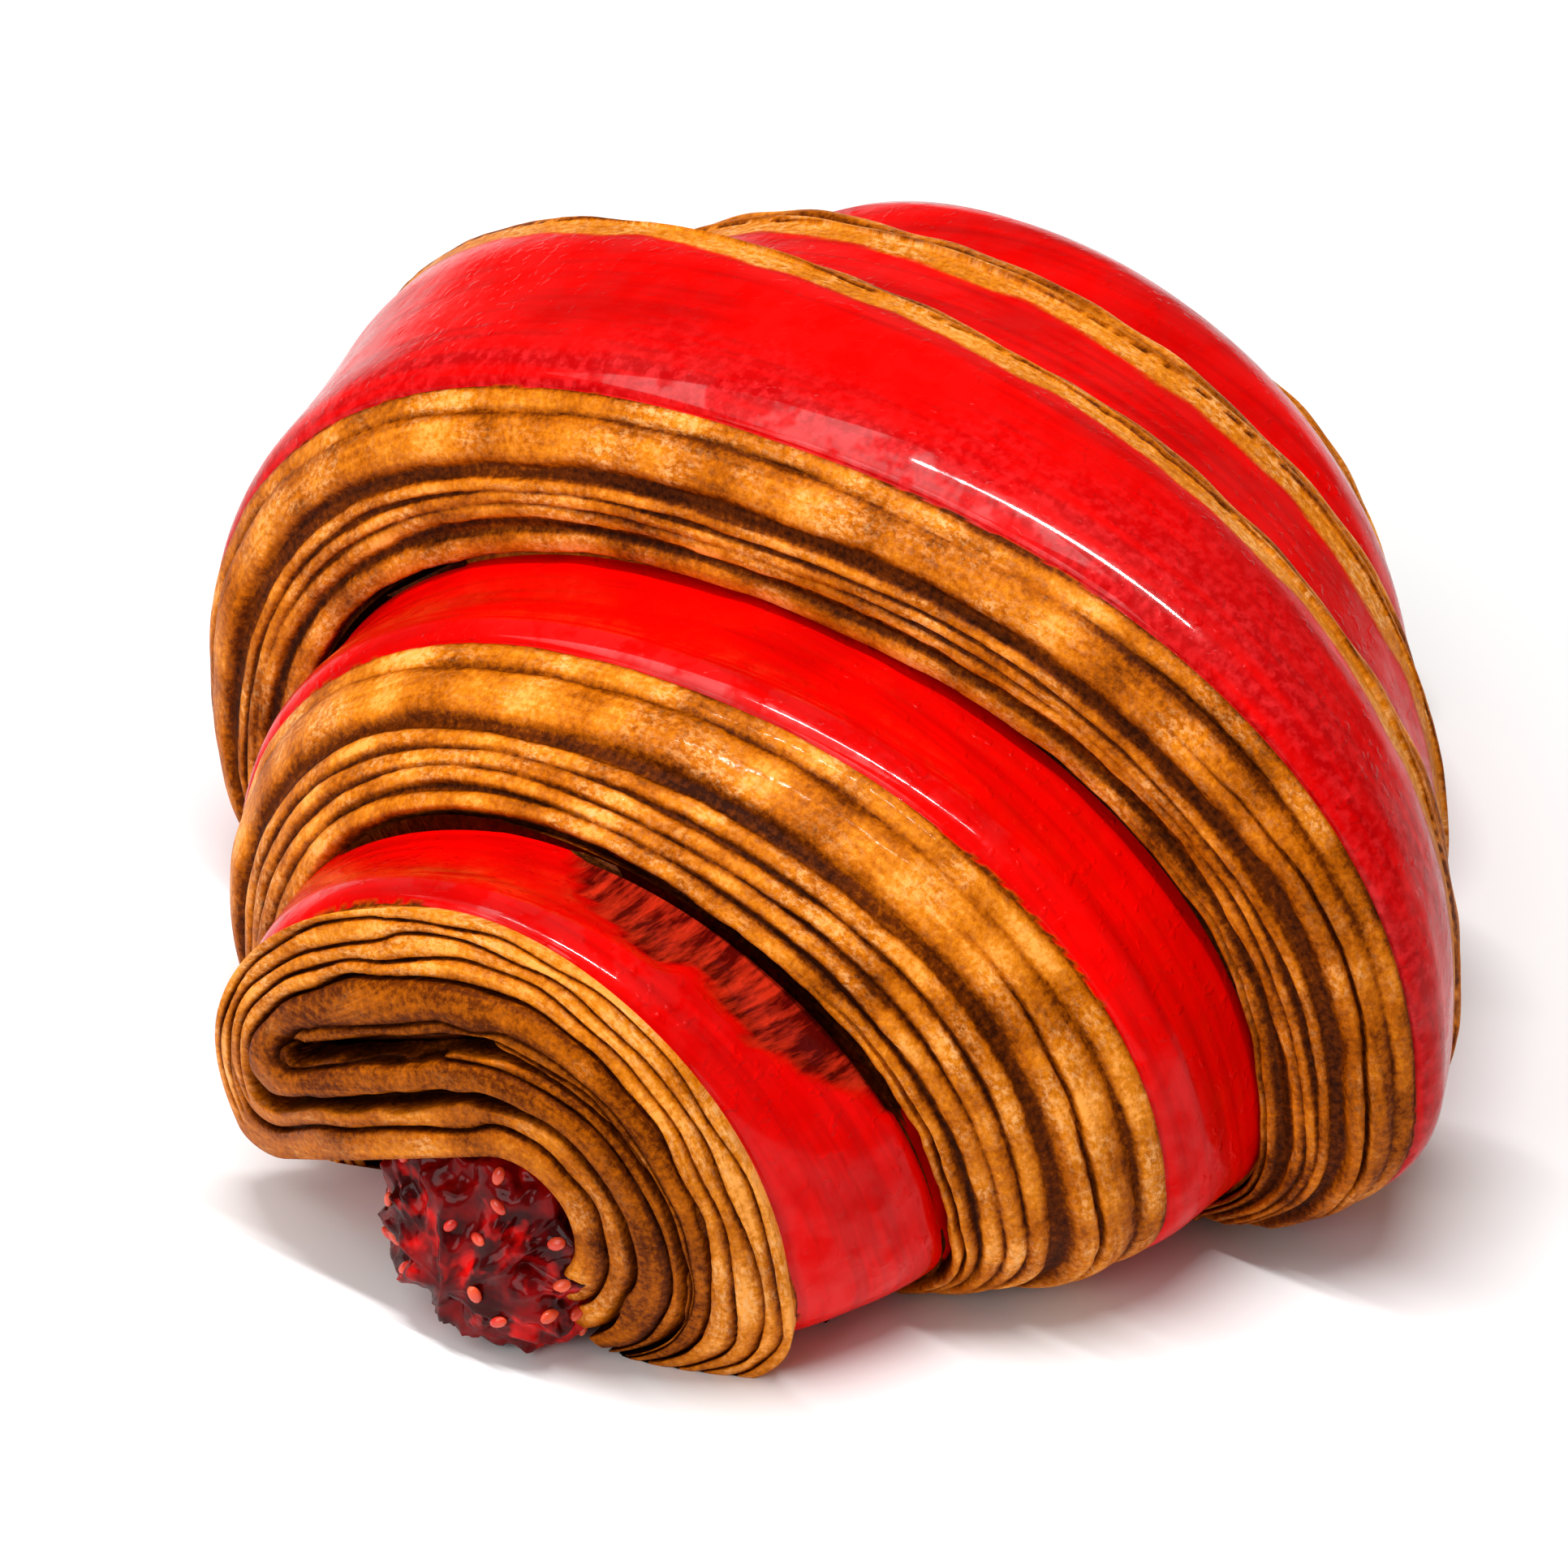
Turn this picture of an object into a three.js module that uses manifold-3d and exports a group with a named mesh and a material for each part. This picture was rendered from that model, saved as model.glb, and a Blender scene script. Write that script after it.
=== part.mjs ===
// A two-coloured filled croissant, lying flat. Millimetres, +Z up, long axis along X.
// One laminated triangle of dough is rolled up round a core of jam. The triangle's two long cut edges
// wind round the roll as steps: banded faces towards each end, smooth skin between them.
import * as THREE from 'three';
import { mergeVertices } from 'three/addons/utils/BufferGeometryUtils.js';
import Module from 'manifold-3d';

const wasm = await Module();
wasm.setup();

// ---- Driving dimensions ----

// The roll is followed by its turn: .0 is the left side (+Y), .25 the top, .5 the right side, .75 below.
// At each pass over the top the winding's outer surface has four stations, from the near cut edge (-X)
// to the far one: lip, shoulder, shoulder, lip. Each is a place along X, a half width and a height.
const PASSES = [
  { turn: 0.25, stations: [[-33.4, 19, 30], [-24.9, 20.5, 28.7], [38.5, 27, 33.3], [50, 17, 21]] },
  { turn: 1.25, stations: [[-15.2, 31.3, 35], [-6.6, 33, 36], [11, 36.4, 40.1], [25.7, 33.8, 39.1]] },
  { turn: 2.25, stations: [[-4.5, 42, 46], [-0.5, 42.8, 47.8], [5, 42.8, 48.4], [9.3, 42.3, 47.6]] },
];
const START_SLACK = -0.2;        // further back than this from the first pass, a lip keeps its place along X
const LIP_SLOPE = 12;            // how far a lip travels along X in one turn, as it crosses the top
const MIDDLE_X = 8.3;            // the roll's middle, which becomes x = 0
const MIDDLE_Y = -0.3;

const WAIST = 0.3;               // height of a section's widest place, as a share of its height
const UNDERSIDE = 1.3;           // how deep the lower half would be, against the waist, if no table cut it
const BEND = { from: -5, to: 45, drift: 9 };   // the far half bends to the left between these places

const CORE_SINK = 1.2;           // the core's end lies this far inside the first lip
const CORE_SWELL = { halfWidth: 6, height: 5 };   // how far the core's middle swells beyond its ends
const CORE_MIDDLE = 0.45;        // height of an end dome's centre, as a share of the roll's height there
const CORE_SIDES = 48;
const CORE_RINGS = 12;
const DOME_SHARES = [0.25, 0.5, 0.75, 0.9, 1];    // rings of an end dome, as shares of its radius
const NEAR_BULGE = 3.4;          // how far the near end face bulges beyond its lip
const FAR_BULGE = 4.2;

const SLAB = 7;                  // thickness of the rolled slab, where nothing lies below it
const FIRST_WINDING_TURN = 0.6;  // up to here the near lip is the rim of the roll's end
const LAYER_RIDGES = 6;          // ridges of layers on a cut face
const RIDGE_DEPTH = 0.9;
const RIDGE_START = [-0.15, 0.05];   // the ridges rise between these turns
const FACE_POINTS = 2;           // points per ridge
const FACE_BELLY = 1.6;          // how far a cut face bulges between its crease and its lip
const LIP_ROUND = 0.9;
const SUNK_SHARE = 0.6;          // a winding's hidden inner side, as a share of its crease's size
const POINT_TAPER = 0.12;        // the triangle's point narrows over this much of a turn
const POINT_WIDTH = 1;

const FOLD_CENTRE = { y: -4.3, z: 10 };   // the near end's folded slab wraps round this point
const FOLD_TILT = 0.47;          // slope angle of the fold's straight runs, in radians
const FOLD_GAPS = [              // the dark gaps between its runs: radius, straight length, width
  { radius: 11.6, straight: 15, width: 1.5 },
  { radius: 8.3, straight: 18, width: 1.1 },
];
const GAP_DEPTH = 5;
const GAP_RUN_OUT = 12;          // length of the tool that cuts a gap
const GAP_ARC = { end: Math.PI + 0.35, steps: 14 };
const TABLE_CUT = { side: 200, depth: 40 };   // what lies below the table is cut away
const LIFT = {                   // the near end's left foot is lifted: its underside slopes up to the jam
  at: { x: -35, y: 7.6, height: 7.9 },
  slope: { x: -0.706, y: -0.306 },
  fromY: -8,
  toY: 45,
  foremost: -60,
};

const JAM_GAP = 0.3;
const JAM = [                    // centre and half sizes of the jam along its length
  { x: -38.2, y: 0.6, z: 5.6, halfY: 3.6, halfZ: 3.2 },
  { x: -36.6, y: -0.6, z: 7.2, halfY: 6.8, halfZ: 5.8 },
  { x: -33.5, y: -0.8, z: 7.6, halfY: 7.6, halfZ: 6.4 },
  { x: -27, y: -1.2, z: 9.6, halfY: 6.6, halfZ: 5.4 },
  { x: -15, y: 0, z: 12, halfY: 6, halfZ: 5 },
  { x: 20, y: 3, z: 13, halfY: 6, halfZ: 5 },
  { x: 45, y: 8.5, z: 9.5, halfY: 5, halfZ: 4 },
  { x: 54.4, y: 11.2, z: 8.6, halfY: 4.2, halfZ: 3.4 },
];
const JAM_FLOOR = 0.4;           // the jam stays this far above the table
const JAM_SIDES = 20;
const JAM_SHOWN_TO = -28;        // up to here the jam shows and has its full shape
const JAM_LUMPS = { height: 0.7, from: -33, to: -30 };   // they fade between these two places
const JAM_STEPS = { shown: 1.2, hidden: 8 };  // distance between rings
const JAM_RUN_OUT = 6;           // the tunnel goes this far beyond the jam's ends
const SEED_HALF_SIZE = { length: 0.75, width: 0.5, thickness: 0.4 };
const SEEDS = { count: 14, spread: 0.85, foremost: 1.1, setBack: 1.3, rimGap: 0.6 };

const STEPS_PER_TURN = 26;
const STEP = 1 / STEPS_PER_TURN;
const START_TURN = -8 * STEP;    // the first winding starts under the core
const POINT_TURN = 2 + 18 * STEP; // where the triangle's point ends, low on the right side
const WELDS = [0.02, 0.005, 0.001]; // corners nearer than this become one

// ---- The roll's surface ----

const mix = (a, b, k) => a + (b - a) * k;

// A value that is known at the three passes, for any turn: a smooth curve through them.
function alongTurn(values, turn, slope) {
  const k = turn - PASSES[0].turn;
  if (slope === undefined) {
    const bend = (values[2] - 2 * values[1] + values[0]) / 2;
    return values[0] + (values[1] - values[0] - bend) * k + bend * k * k;
  }
  const from = Math.min(Math.max(Math.floor(k), 0), 1);
  const s = k - from;
  if (s < 0) return values[0] + slope * Math.max(s, START_SLACK);
  if (s > 1) return values[2] + slope * (s - 1);
  const rise = values[from + 1] - values[from];
  return values[from] + slope * s + (3 * (rise - slope)) * s * s - 2 * (rise - slope) * s * s * s;
}

function station(index, turn) {
  const column = (part) => PASSES.map((pass) => pass.stations[index][part]);
  const slopes = [LIP_SLOPE, LIP_SLOPE, -LIP_SLOPE, -LIP_SLOPE];
  return {
    x: alongTurn(column(0), turn, slopes[index]),
    halfWidth: alongTurn(column(1), turn),
    height: alongTurn(column(2), turn),
  };
}

const drift = (x) => BEND.drift * THREE.MathUtils.smoothstep(x, BEND.from, BEND.to);

// The point of a section's outline at one turn: a superellipse with a low waist, a little below the table
// on its underside.
function outline(x, halfWidth, height, turn) {
  const angle = Math.PI * (1 - 2 * turn);
  const square = 2 / (2 + 0.12 * Math.min(Math.max(turn, 0), 2.3));
  const power = (v) => Math.sign(v) * Math.abs(v) ** square;
  const waist = WAIST * height;
  const rise = power(Math.sin(angle));
  const z = waist + (rise > 0 ? (height - waist) * rise : UNDERSIDE * waist * rise);
  return new THREE.Vector3(x - MIDDLE_X, drift(x) - halfWidth * power(Math.cos(angle)) - MIDDLE_Y, z);
}

// Where a cut face ends inside: on the skin of the winding below, or for the first winding, which has
// none below it, one slab's thickness inside its own lip.
function crease(lipIndex, turn) {
  const below = station(lipIndex === 0 ? 1 : 2, turn - 1);
  const lip = station(lipIndex, turn);
  const k = THREE.MathUtils.smoothstep(turn, FIRST_WINDING_TURN, 1);
  return {
    x: mix(lip.x, below.x, k),
    halfWidth: mix(lip.halfWidth - SLAB, below.halfWidth, k),
    height: mix(lip.height - SLAB, below.height, k),
  };
}

// The section of a winding, as a closed loop of stations: the near cut face with its ridges of layers,
// the skin, the far cut face, and a deep inner side that the core swallows.
function windingLoop(turn) {
  const lips = [station(0, turn), station(1, turn), station(2, turn), station(3, turn)];
  const creases = [crease(0, turn), crease(3, turn)];
  const taper = Math.min(1, (POINT_TURN - turn) / POINT_TAPER);
  const centre = (lips[0].x + lips[3].x) / 2;
  if (taper < 1) {
    creases[0].x = mix(centre, creases[0].x, taper);
    creases[1].x = mix(centre, creases[1].x, taper);
  }
  for (const lip of lips) {
    lip.x = mix(centre, lip.x, taper);
  }
  if (lips[0].x > lips[3].x - POINT_WIDTH) {
    lips[0].x = centre - POINT_WIDTH / 2;
    lips[3].x = centre + POINT_WIDTH / 2;
  }
  lips[1].x = Math.min(Math.max(lips[1].x, lips[0].x + 0.2), lips[3].x - 0.4);
  lips[2].x = Math.min(Math.max(lips[2].x, lips[1].x + 0.1), lips[3].x - 0.2);

  const loop = [];
  const depth = RIDGE_DEPTH * THREE.MathUtils.smoothstep(turn, ...RIDGE_START);
  const addFace = (inner, lip, outwards, reversed) => {
    const face = [];
    const count = LAYER_RIDGES * FACE_POINTS;
    for (let i = 0; i <= count; i++) {
      const k = i / count;
      const ridge = depth * (1 - Math.cos(2 * Math.PI * k * LAYER_RIDGES)) / 2;
      const belly = FACE_BELLY * Math.sin(Math.PI * k) + ridge;
      face.push({
        x: mix(inner.x, lip.x, k) + outwards * belly,
        halfWidth: mix(inner.halfWidth, lip.halfWidth - LIP_ROUND * k, k),
        height: mix(inner.height, lip.height - LIP_ROUND * k, k),
      });
    }
    if (reversed) face.reverse();
    loop.push(...face);
  };
  addFace(creases[0], lips[0], -1, false);
  for (const lip of lips) loop.push(lip);
  addFace(creases[1], lips[3], 1, true);
  const sunk = ({ x, halfWidth, height }) => (
    { x, halfWidth: halfWidth * SUNK_SHARE, height: height * SUNK_SHARE }
  );
  loop.push(sunk(creases[1]), sunk(creases[0]));
  return loop;
}

// ---- Solids from rings of points ----

function toManifold(geometry, weld = 1e-4) {
  geometry.deleteAttribute('normal');
  geometry.deleteAttribute('uv');
  const merged = mergeVertices(geometry, weld);
  return new wasm.Manifold(new wasm.Mesh({
    numProp: 3,
    vertProperties: new Float32Array(merged.attributes.position.array),
    triVerts: new Uint32Array(merged.index.array),
  }));
}

function toGeometry(solid) {
  const { vertProperties, triVerts } = solid.getMesh();
  const geometry = new THREE.BufferGeometry();
  geometry.setAttribute('position', new THREE.BufferAttribute(vertProperties, 3));
  geometry.setIndex(new THREE.BufferAttribute(triVerts, 1));
  geometry.computeVertexNormals();
  return geometry;
}

// The largest closed surface of a solid, its nearest corners welded: this fills the pockets sealed
// between the windings and drops loose slivers.
function outerShell(solid) {
  const largest = (pieces) => pieces.reduce((best, piece) => (piece.volume() > best.volume() ? piece : best));
  return WELDS.reduce(
    (shell, weld) => largest(toManifold(toGeometry(shell), weld).decompose()),
    largest(solid.decompose()),
  );
}

// A strip of triangles that closes the end of a loft, from one side of its outline to the other.
function capTriangles(size) {
  const triangles = [];
  for (let i = 0, j = size - 1; i + 1 < j; i++, j--) {
    triangles.push([i, i + 1, j]);
    if (i + 1 < j - 1) triangles.push([i + 1, j - 1, j]);
  }
  return triangles;
}

// A closed skin over a row of rings with the same number of points, its two ends closed flat.
function loft(rings) {
  const size = rings[0].length;
  const index = [];
  for (let ring = 0; ring + 1 < rings.length; ring++) {
    for (let i = 0; i < size; i++) {
      const next = (i + 1) % size;
      const [a, b] = [ring * size + i, ring * size + next];
      index.push(a, b, a + size, b, b + size, a + size);
    }
  }
  const last = (rings.length - 1) * size;
  for (const [a, b, c] of capTriangles(size)) {
    index.push(a, c, b);
    index.push(last + a, last + b, last + c);
  }
  const geometry = new THREE.BufferGeometry().setFromPoints(rings.flat());
  geometry.setIndex(index);
  const solid = toManifold(geometry);
  return solid.volume() > 0 ? solid : toManifold(flipped(geometry));
}

function flipped(geometry) {
  const turned = geometry.clone();
  const order = turned.index.array;
  for (let i = 0; i < order.length; i += 3) {
    [order[i], order[i + 1]] = [order[i + 1], order[i]];
  }
  return turned;
}

// ---- The dough ----

function winding(from, to) {
  const steps = Math.round((to - from) * STEPS_PER_TURN);
  const rings = [];
  for (let i = 0; i <= steps; i++) {
    const turn = mix(from, to, i / steps);
    rings.push(windingLoop(turn).map((at) => outline(at.x, at.halfWidth, at.height, turn)));
  }
  return loft(rings);
}

// The core fills the roll from end to end, and bulges beyond the first lips as a shallow dome.
function core() {
  const sizes = [];
  const first = PASSES[0].stations;
  const [near, far] = [first[0], first[3]];
  const dome = (lip, bulge, sign) => DOME_SHARES.map((share) => ({
    x: lip[0] + sign * bulge * Math.sqrt(1 - share * share),
    share,
    halfWidth: lip[1] - CORE_SINK,
    height: lip[2] - CORE_SINK,
  }));
  sizes.push(...dome(near, NEAR_BULGE, -1));
  for (let i = 1; i < CORE_RINGS; i++) {
    const k = i / CORE_RINGS;
    const swell = Math.sin(Math.PI * k);
    sizes.push({
      x: mix(near[0], far[0], k),
      share: 1,
      halfWidth: mix(near[1], far[1], k) + CORE_SWELL.halfWidth * swell - CORE_SINK,
      height: mix(near[2], far[2], k) + CORE_SWELL.height * swell - CORE_SINK,
    });
  }
  sizes.push(...dome(far, FAR_BULGE, 1).reverse());
  const rings = sizes.map(({ x, share, halfWidth, height }) => {
    const ring = [];
    for (let i = 0; i < CORE_SIDES; i++) {
      const rim = outline(x, halfWidth, height, i / CORE_SIDES);
      const middle = new THREE.Vector3(x - MIDDLE_X, drift(x) - MIDDLE_Y, height * CORE_MIDDLE);
      ring.push(middle.lerp(rim, share));
    }
    return ring;
  });
  return loft(rings);
}

// A gap between two runs of the folded slab: a straight run that turns into an arc round the fold's centre.
function foldGap({ radius, straight, width }) {
  const path = (r) => {
    const points = [];
    const start = Math.PI / 2 - FOLD_TILT;
    const top = [FOLD_CENTRE.y + r * Math.cos(start), FOLD_CENTRE.z + r * Math.sin(start)];
    const along = [Math.sin(start), -Math.cos(start)];
    points.push([top[0] + along[0] * straight, top[1] + along[1] * straight]);
    for (let i = 0; i <= GAP_ARC.steps; i++) {
      const angle = mix(start, GAP_ARC.end, i / GAP_ARC.steps);
      points.push([FOLD_CENTRE.y + r * Math.cos(angle), FOLD_CENTRE.z + r * Math.sin(angle)]);
    }
    return points;
  };
  const sides = [...path(radius + width / 2), ...path(radius - width / 2).reverse()];
  const shape = new THREE.Shape(sides.map(([y, z]) => new THREE.Vector2(y, z)));
  const geometry = new THREE.ExtrudeGeometry(shape, { depth: GAP_RUN_OUT, bevelEnabled: false });
  geometry.applyMatrix4(new THREE.Matrix4().makeBasis(
    new THREE.Vector3(0, 1, 0),
    new THREE.Vector3(0, 0, 1),
    new THREE.Vector3(1, 0, 0),
  ));
  const nearFace = PASSES[0].stations[0][0] - NEAR_BULGE;
  geometry.translate(nearFace + GAP_DEPTH - GAP_RUN_OUT - MIDDLE_X, -MIDDLE_Y, 0);
  return toManifold(geometry);
}

// What lies under the near end's lifted left foot: a wedge with a sloping top.
function underFoot() {
  const rings = [LIFT.fromY, LIFT.toY].map((y) => {
    const height = (x) => LIFT.at.height + LIFT.slope.x * (x - LIFT.at.x) + LIFT.slope.y * (y - LIFT.at.y);
    const heel = LIFT.at.x - (height(LIFT.at.x) + 1) / LIFT.slope.x;
    const corners = [[LIFT.foremost, -1], [LIFT.foremost, height(LIFT.foremost)], [heel, -1]];
    return corners.map(([x, z]) => new THREE.Vector3(x - MIDDLE_X, y - MIDDLE_Y, z));
  });
  return loft(rings);
}

// ---- The jam ----

// Swells and hollows of the jam's skin where it shows, as a share of the lump height.
const lumps = (x, angle) => Math.sin(3 * angle + 0.9 * x) * 0.6 + Math.sin(5 * angle - 1.7 * x) * 0.4;

// The jam's centre or half size at a place along it.
function jamAt(key, x) {
  const next = Math.max(1, JAM.findIndex((at) => at.x >= x));
  const [a, b] = [JAM[next - 1], JAM[next]];
  return mix(a[key], b[key], (x - a.x) / (b.x - a.x));
}

// The rod of jam, or with a margin the tunnel that it lies in, which runs out beyond its ends.
function jamRod(margin) {
  const places = [];
  for (let x = JAM[0].x; x < JAM_SHOWN_TO; x += JAM_STEPS.shown) places.push(x);
  for (let x = JAM_SHOWN_TO; x < JAM.at(-1).x; x += JAM_STEPS.hidden) places.push(x);
  places.push(JAM.at(-1).x);
  const floor = margin > 0 ? -Infinity : JAM_FLOOR;
  const rings = places.map((x) => {
    const fade = 1 - (Math.min(Math.max(x, JAM_LUMPS.from), JAM_LUMPS.to) - JAM_LUMPS.from)
      / (JAM_LUMPS.to - JAM_LUMPS.from);
    const ring = [];
    for (let i = 0; i < JAM_SIDES; i++) {
      const angle = (2 * Math.PI * i) / JAM_SIDES;
      const swell = margin + fade * JAM_LUMPS.height * lumps(x, angle);
      const height = jamAt('z', x) + (jamAt('halfZ', x) + swell) * Math.sin(angle);
      ring.push(new THREE.Vector3(
        x - MIDDLE_X,
        jamAt('y', x) + (jamAt('halfY', x) + swell) * Math.cos(angle) - MIDDLE_Y,
        Math.max(height, floor),
      ));
    }
    return ring;
  });
  if (margin > 0) {
    const pushed = (ring, by) => ring.map((point) => point.clone().add(new THREE.Vector3(by, 0, 0)));
    rings.unshift(pushed(rings[0], -JAM_RUN_OUT));
    rings.push(pushed(rings.at(-1), JAM_RUN_OUT));
  }
  return loft(rings);
}

// Strawberry seeds lie in a sunflower pattern over the jam's near end, sunk to about their middle.
function jamWithSeeds() {
  let jam = jamRod(0);
  const goldenAngle = Math.PI * (3 - Math.sqrt(5));
  const end = JAM[1];
  for (let i = 0; i < SEEDS.count; i++) {
    const share = Math.sqrt((i + 0.5) / SEEDS.count) * SEEDS.spread;
    const angle = i * goldenAngle;
    const seed = new THREE.SphereGeometry(1, 6, 4);
    seed.scale(SEED_HALF_SIZE.thickness, SEED_HALF_SIZE.length, SEED_HALF_SIZE.width);
    seed.rotateX(angle * 2);
    seed.translate(
      end.x - MIDDLE_X - SEEDS.foremost + SEEDS.setBack * share * share,
      end.y - MIDDLE_Y + share * end.halfY * Math.cos(angle),
      end.z + share * (end.halfZ - SEEDS.rimGap) * Math.sin(angle),
    );
    jam = jam.add(toManifold(seed));
  }
  return jam;
}

// ---- Put together ----

// Each stretch overlaps the one before by a step, and none is long enough to meet itself.
const STRETCHES = [[START_TURN, 12 * STEP], [11 * STEP, 1], [1 - STEP, 2], [2 - STEP, POINT_TURN]];
let dough = STRETCHES.reduce((whole, [from, to]) => whole.add(winding(from, to)), core());
for (const gap of FOLD_GAPS) dough = dough.subtract(foldGap(gap));
dough = dough.subtract(underFoot());
const belowTable = new THREE.BoxGeometry(TABLE_CUT.side, TABLE_CUT.side, TABLE_CUT.depth);
dough = dough.subtract(toManifold(belowTable.translate(0, 0, -TABLE_CUT.depth / 2)));
dough = outerShell(dough.subtract(jamRod(JAM_GAP)));

const MATERIALS = {
  dough: new THREE.MeshStandardMaterial({ color: 0xb06a1c, roughness: 0.45, metalness: 0 }),
  jam: new THREE.MeshStandardMaterial({ color: 0x7a0a14, roughness: 0.15, metalness: 0 }),
};

const croissant = new THREE.Group();
for (const [name, solid] of Object.entries({ dough, jam: jamWithSeeds() })) {
  const mesh = new THREE.Mesh(toGeometry(solid), MATERIALS[name]);
  mesh.name = name;
  croissant.add(mesh);
}

export default croissant;
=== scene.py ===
import math

import bmesh
import bpy
import numpy as np
from mathutils import Matrix, Vector, noise


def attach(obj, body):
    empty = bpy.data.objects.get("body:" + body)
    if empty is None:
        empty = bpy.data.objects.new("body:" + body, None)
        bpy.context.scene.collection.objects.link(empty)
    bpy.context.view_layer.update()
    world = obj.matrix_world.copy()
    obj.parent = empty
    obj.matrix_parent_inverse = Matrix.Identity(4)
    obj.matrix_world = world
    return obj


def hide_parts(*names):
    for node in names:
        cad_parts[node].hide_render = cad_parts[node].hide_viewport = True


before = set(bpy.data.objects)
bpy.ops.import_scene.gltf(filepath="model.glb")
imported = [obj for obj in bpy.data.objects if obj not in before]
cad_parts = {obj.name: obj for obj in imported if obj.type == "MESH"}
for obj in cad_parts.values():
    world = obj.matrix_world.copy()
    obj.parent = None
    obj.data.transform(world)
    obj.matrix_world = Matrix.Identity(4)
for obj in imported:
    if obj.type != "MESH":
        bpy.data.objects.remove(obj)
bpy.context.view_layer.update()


# ---- Camera ----
# A long lens looks down on the near left of the roll, so that its folded end with the jam, the stepped
# layers and the broad skins all show. It is no part of the croissant.

MM = 0.001
AZIMUTH = math.radians(-55.146)
ELEVATION = math.radians(37.0)
DISTANCE = 538.823 * MM
TARGET = Vector((-10.49, 0.3, 19.17)) * MM
FOCAL_PIXELS = 11091.463
IMAGE_PIXELS = 1932

camera = bpy.data.objects.new("camera", bpy.data.cameras.new("camera"))
bpy.context.scene.collection.objects.link(camera)
camera.data.sensor_width = 36
camera.data.lens = FOCAL_PIXELS / IMAGE_PIXELS * camera.data.sensor_width
camera.data.clip_start = 0.05
towards_camera = Vector((
    math.sin(AZIMUTH) * math.cos(ELEVATION),
    -math.cos(AZIMUTH) * math.cos(ELEVATION),
    math.sin(ELEVATION),
))
camera.location = TARGET + towards_camera * DISTANCE
camera.rotation_mode = "QUATERNION"
camera.rotation_quaternion = (-towards_camera).to_track_quat("-Z", "Y")
bpy.context.scene.camera = camera


# ---- Table and light ----
# The croissant stands on a plain pale table top. A narrow window overhead draws streaks on the glaze,
# and a broad sky and a soft fill light the rest.

TABLE_HALF = 1.5
TABLE_SHADE = (0.86, 0.86, 0.86, 1)
SURROUND_SHADE = (1.0, 0.98, 0.95, 1)
SURROUND_STRENGTH = 0.20
# Name, place, aim, size and watts
LIGHTS = (
    ("window", (-0.07, -0.04, 0.62), (-0.07, -0.0401, 0), (0.022, 0.45), 3.6),
    ("sky", (-0.25, 0.25, 0.65), (0, 0, 0.02), (0.6, 0.6), 2.2),
    ("front_fill", (-0.72, 0.16, 0.40), (0, 0, 0.02), (0.5, 0.4), 2.6),
)


def new_material(name):
    """A node material and its shader."""
    material = bpy.data.materials.new(name)
    material.use_nodes = True
    return material, material.node_tree.nodes["Principled BSDF"]


def link_object(name, data):
    piece = bpy.data.objects.new(name, data)
    bpy.context.scene.collection.objects.link(piece)
    return piece


def table_top():
    bm = bmesh.new()
    bmesh.ops.create_grid(bm, x_segments=1, y_segments=1, size=TABLE_HALF)
    mesh = bpy.data.meshes.new("table_top")
    bm.to_mesh(mesh)
    bm.free()
    material, shader = new_material("pale table")
    shader.inputs["Base Color"].default_value = TABLE_SHADE
    shader.inputs["Roughness"].default_value = 0.7
    mesh.materials.append(material)
    top = link_object("table_top", mesh)


def soft_light(name, place, aim, size, watts):
    light = bpy.data.lights.new(name, "AREA")
    light.shape = "RECTANGLE"
    light.size, light.size_y = size
    light.energy = watts
    lamp = link_object(name, light)
    lamp.location = Vector(place)
    lamp.rotation_mode = "QUATERNION"
    lamp.rotation_quaternion = (Vector(aim) - lamp.location).to_track_quat("-Z", "Y")


table_top()
for light in LIGHTS:
    soft_light(*light)
surround = bpy.data.worlds.new("studio")
surround.use_nodes = True
surround.node_tree.nodes["Background"].inputs["Color"].default_value = SURROUND_SHADE
surround.node_tree.nodes["Background"].inputs["Strength"].default_value = SURROUND_STRENGTH
bpy.context.scene.world = surround
bpy.context.scene.view_settings.view_transform = "Standard"


# ---- Rolled dough: the three windings ----
# One triangle of laminated dough, its outer sheet dyed red, is rolled up from its wide end, baked and
# glazed. Each winding is a strip: a cut face of layers towards either end of the roll, and smooth red
# skin between them. Places are in the roll's own millimetres, and a turn counts from the left side.

MIDDLE = (8.3, -0.3)               # the roll's middle, which becomes x = 0 and y = 0
FIRST_PASS = 0.25                  # the turn is .0 at the left side, .25 at the top, .5 at the right

# Stations across a winding from the near cut edge to the far one, lip, shoulder, shoulder, lip, at each
# pass over the top: place along the roll, half width and height.
STATIONS = np.array([
    [[-33.4, 19, 30], [-24.9, 20.5, 28.7], [36.5, 28.2, 33.8], [50, 17, 21]],
    [[-15.2, 31.3, 35], [-6.6, 33, 36], [11, 36.4, 40.1], [25.7, 33.8, 39.1]],
    [[-4.5, 42, 46], [-0.5, 42.8, 47.8], [5, 42.8, 48.4], [9.3, 42.3, 47.6]],
])
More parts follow.
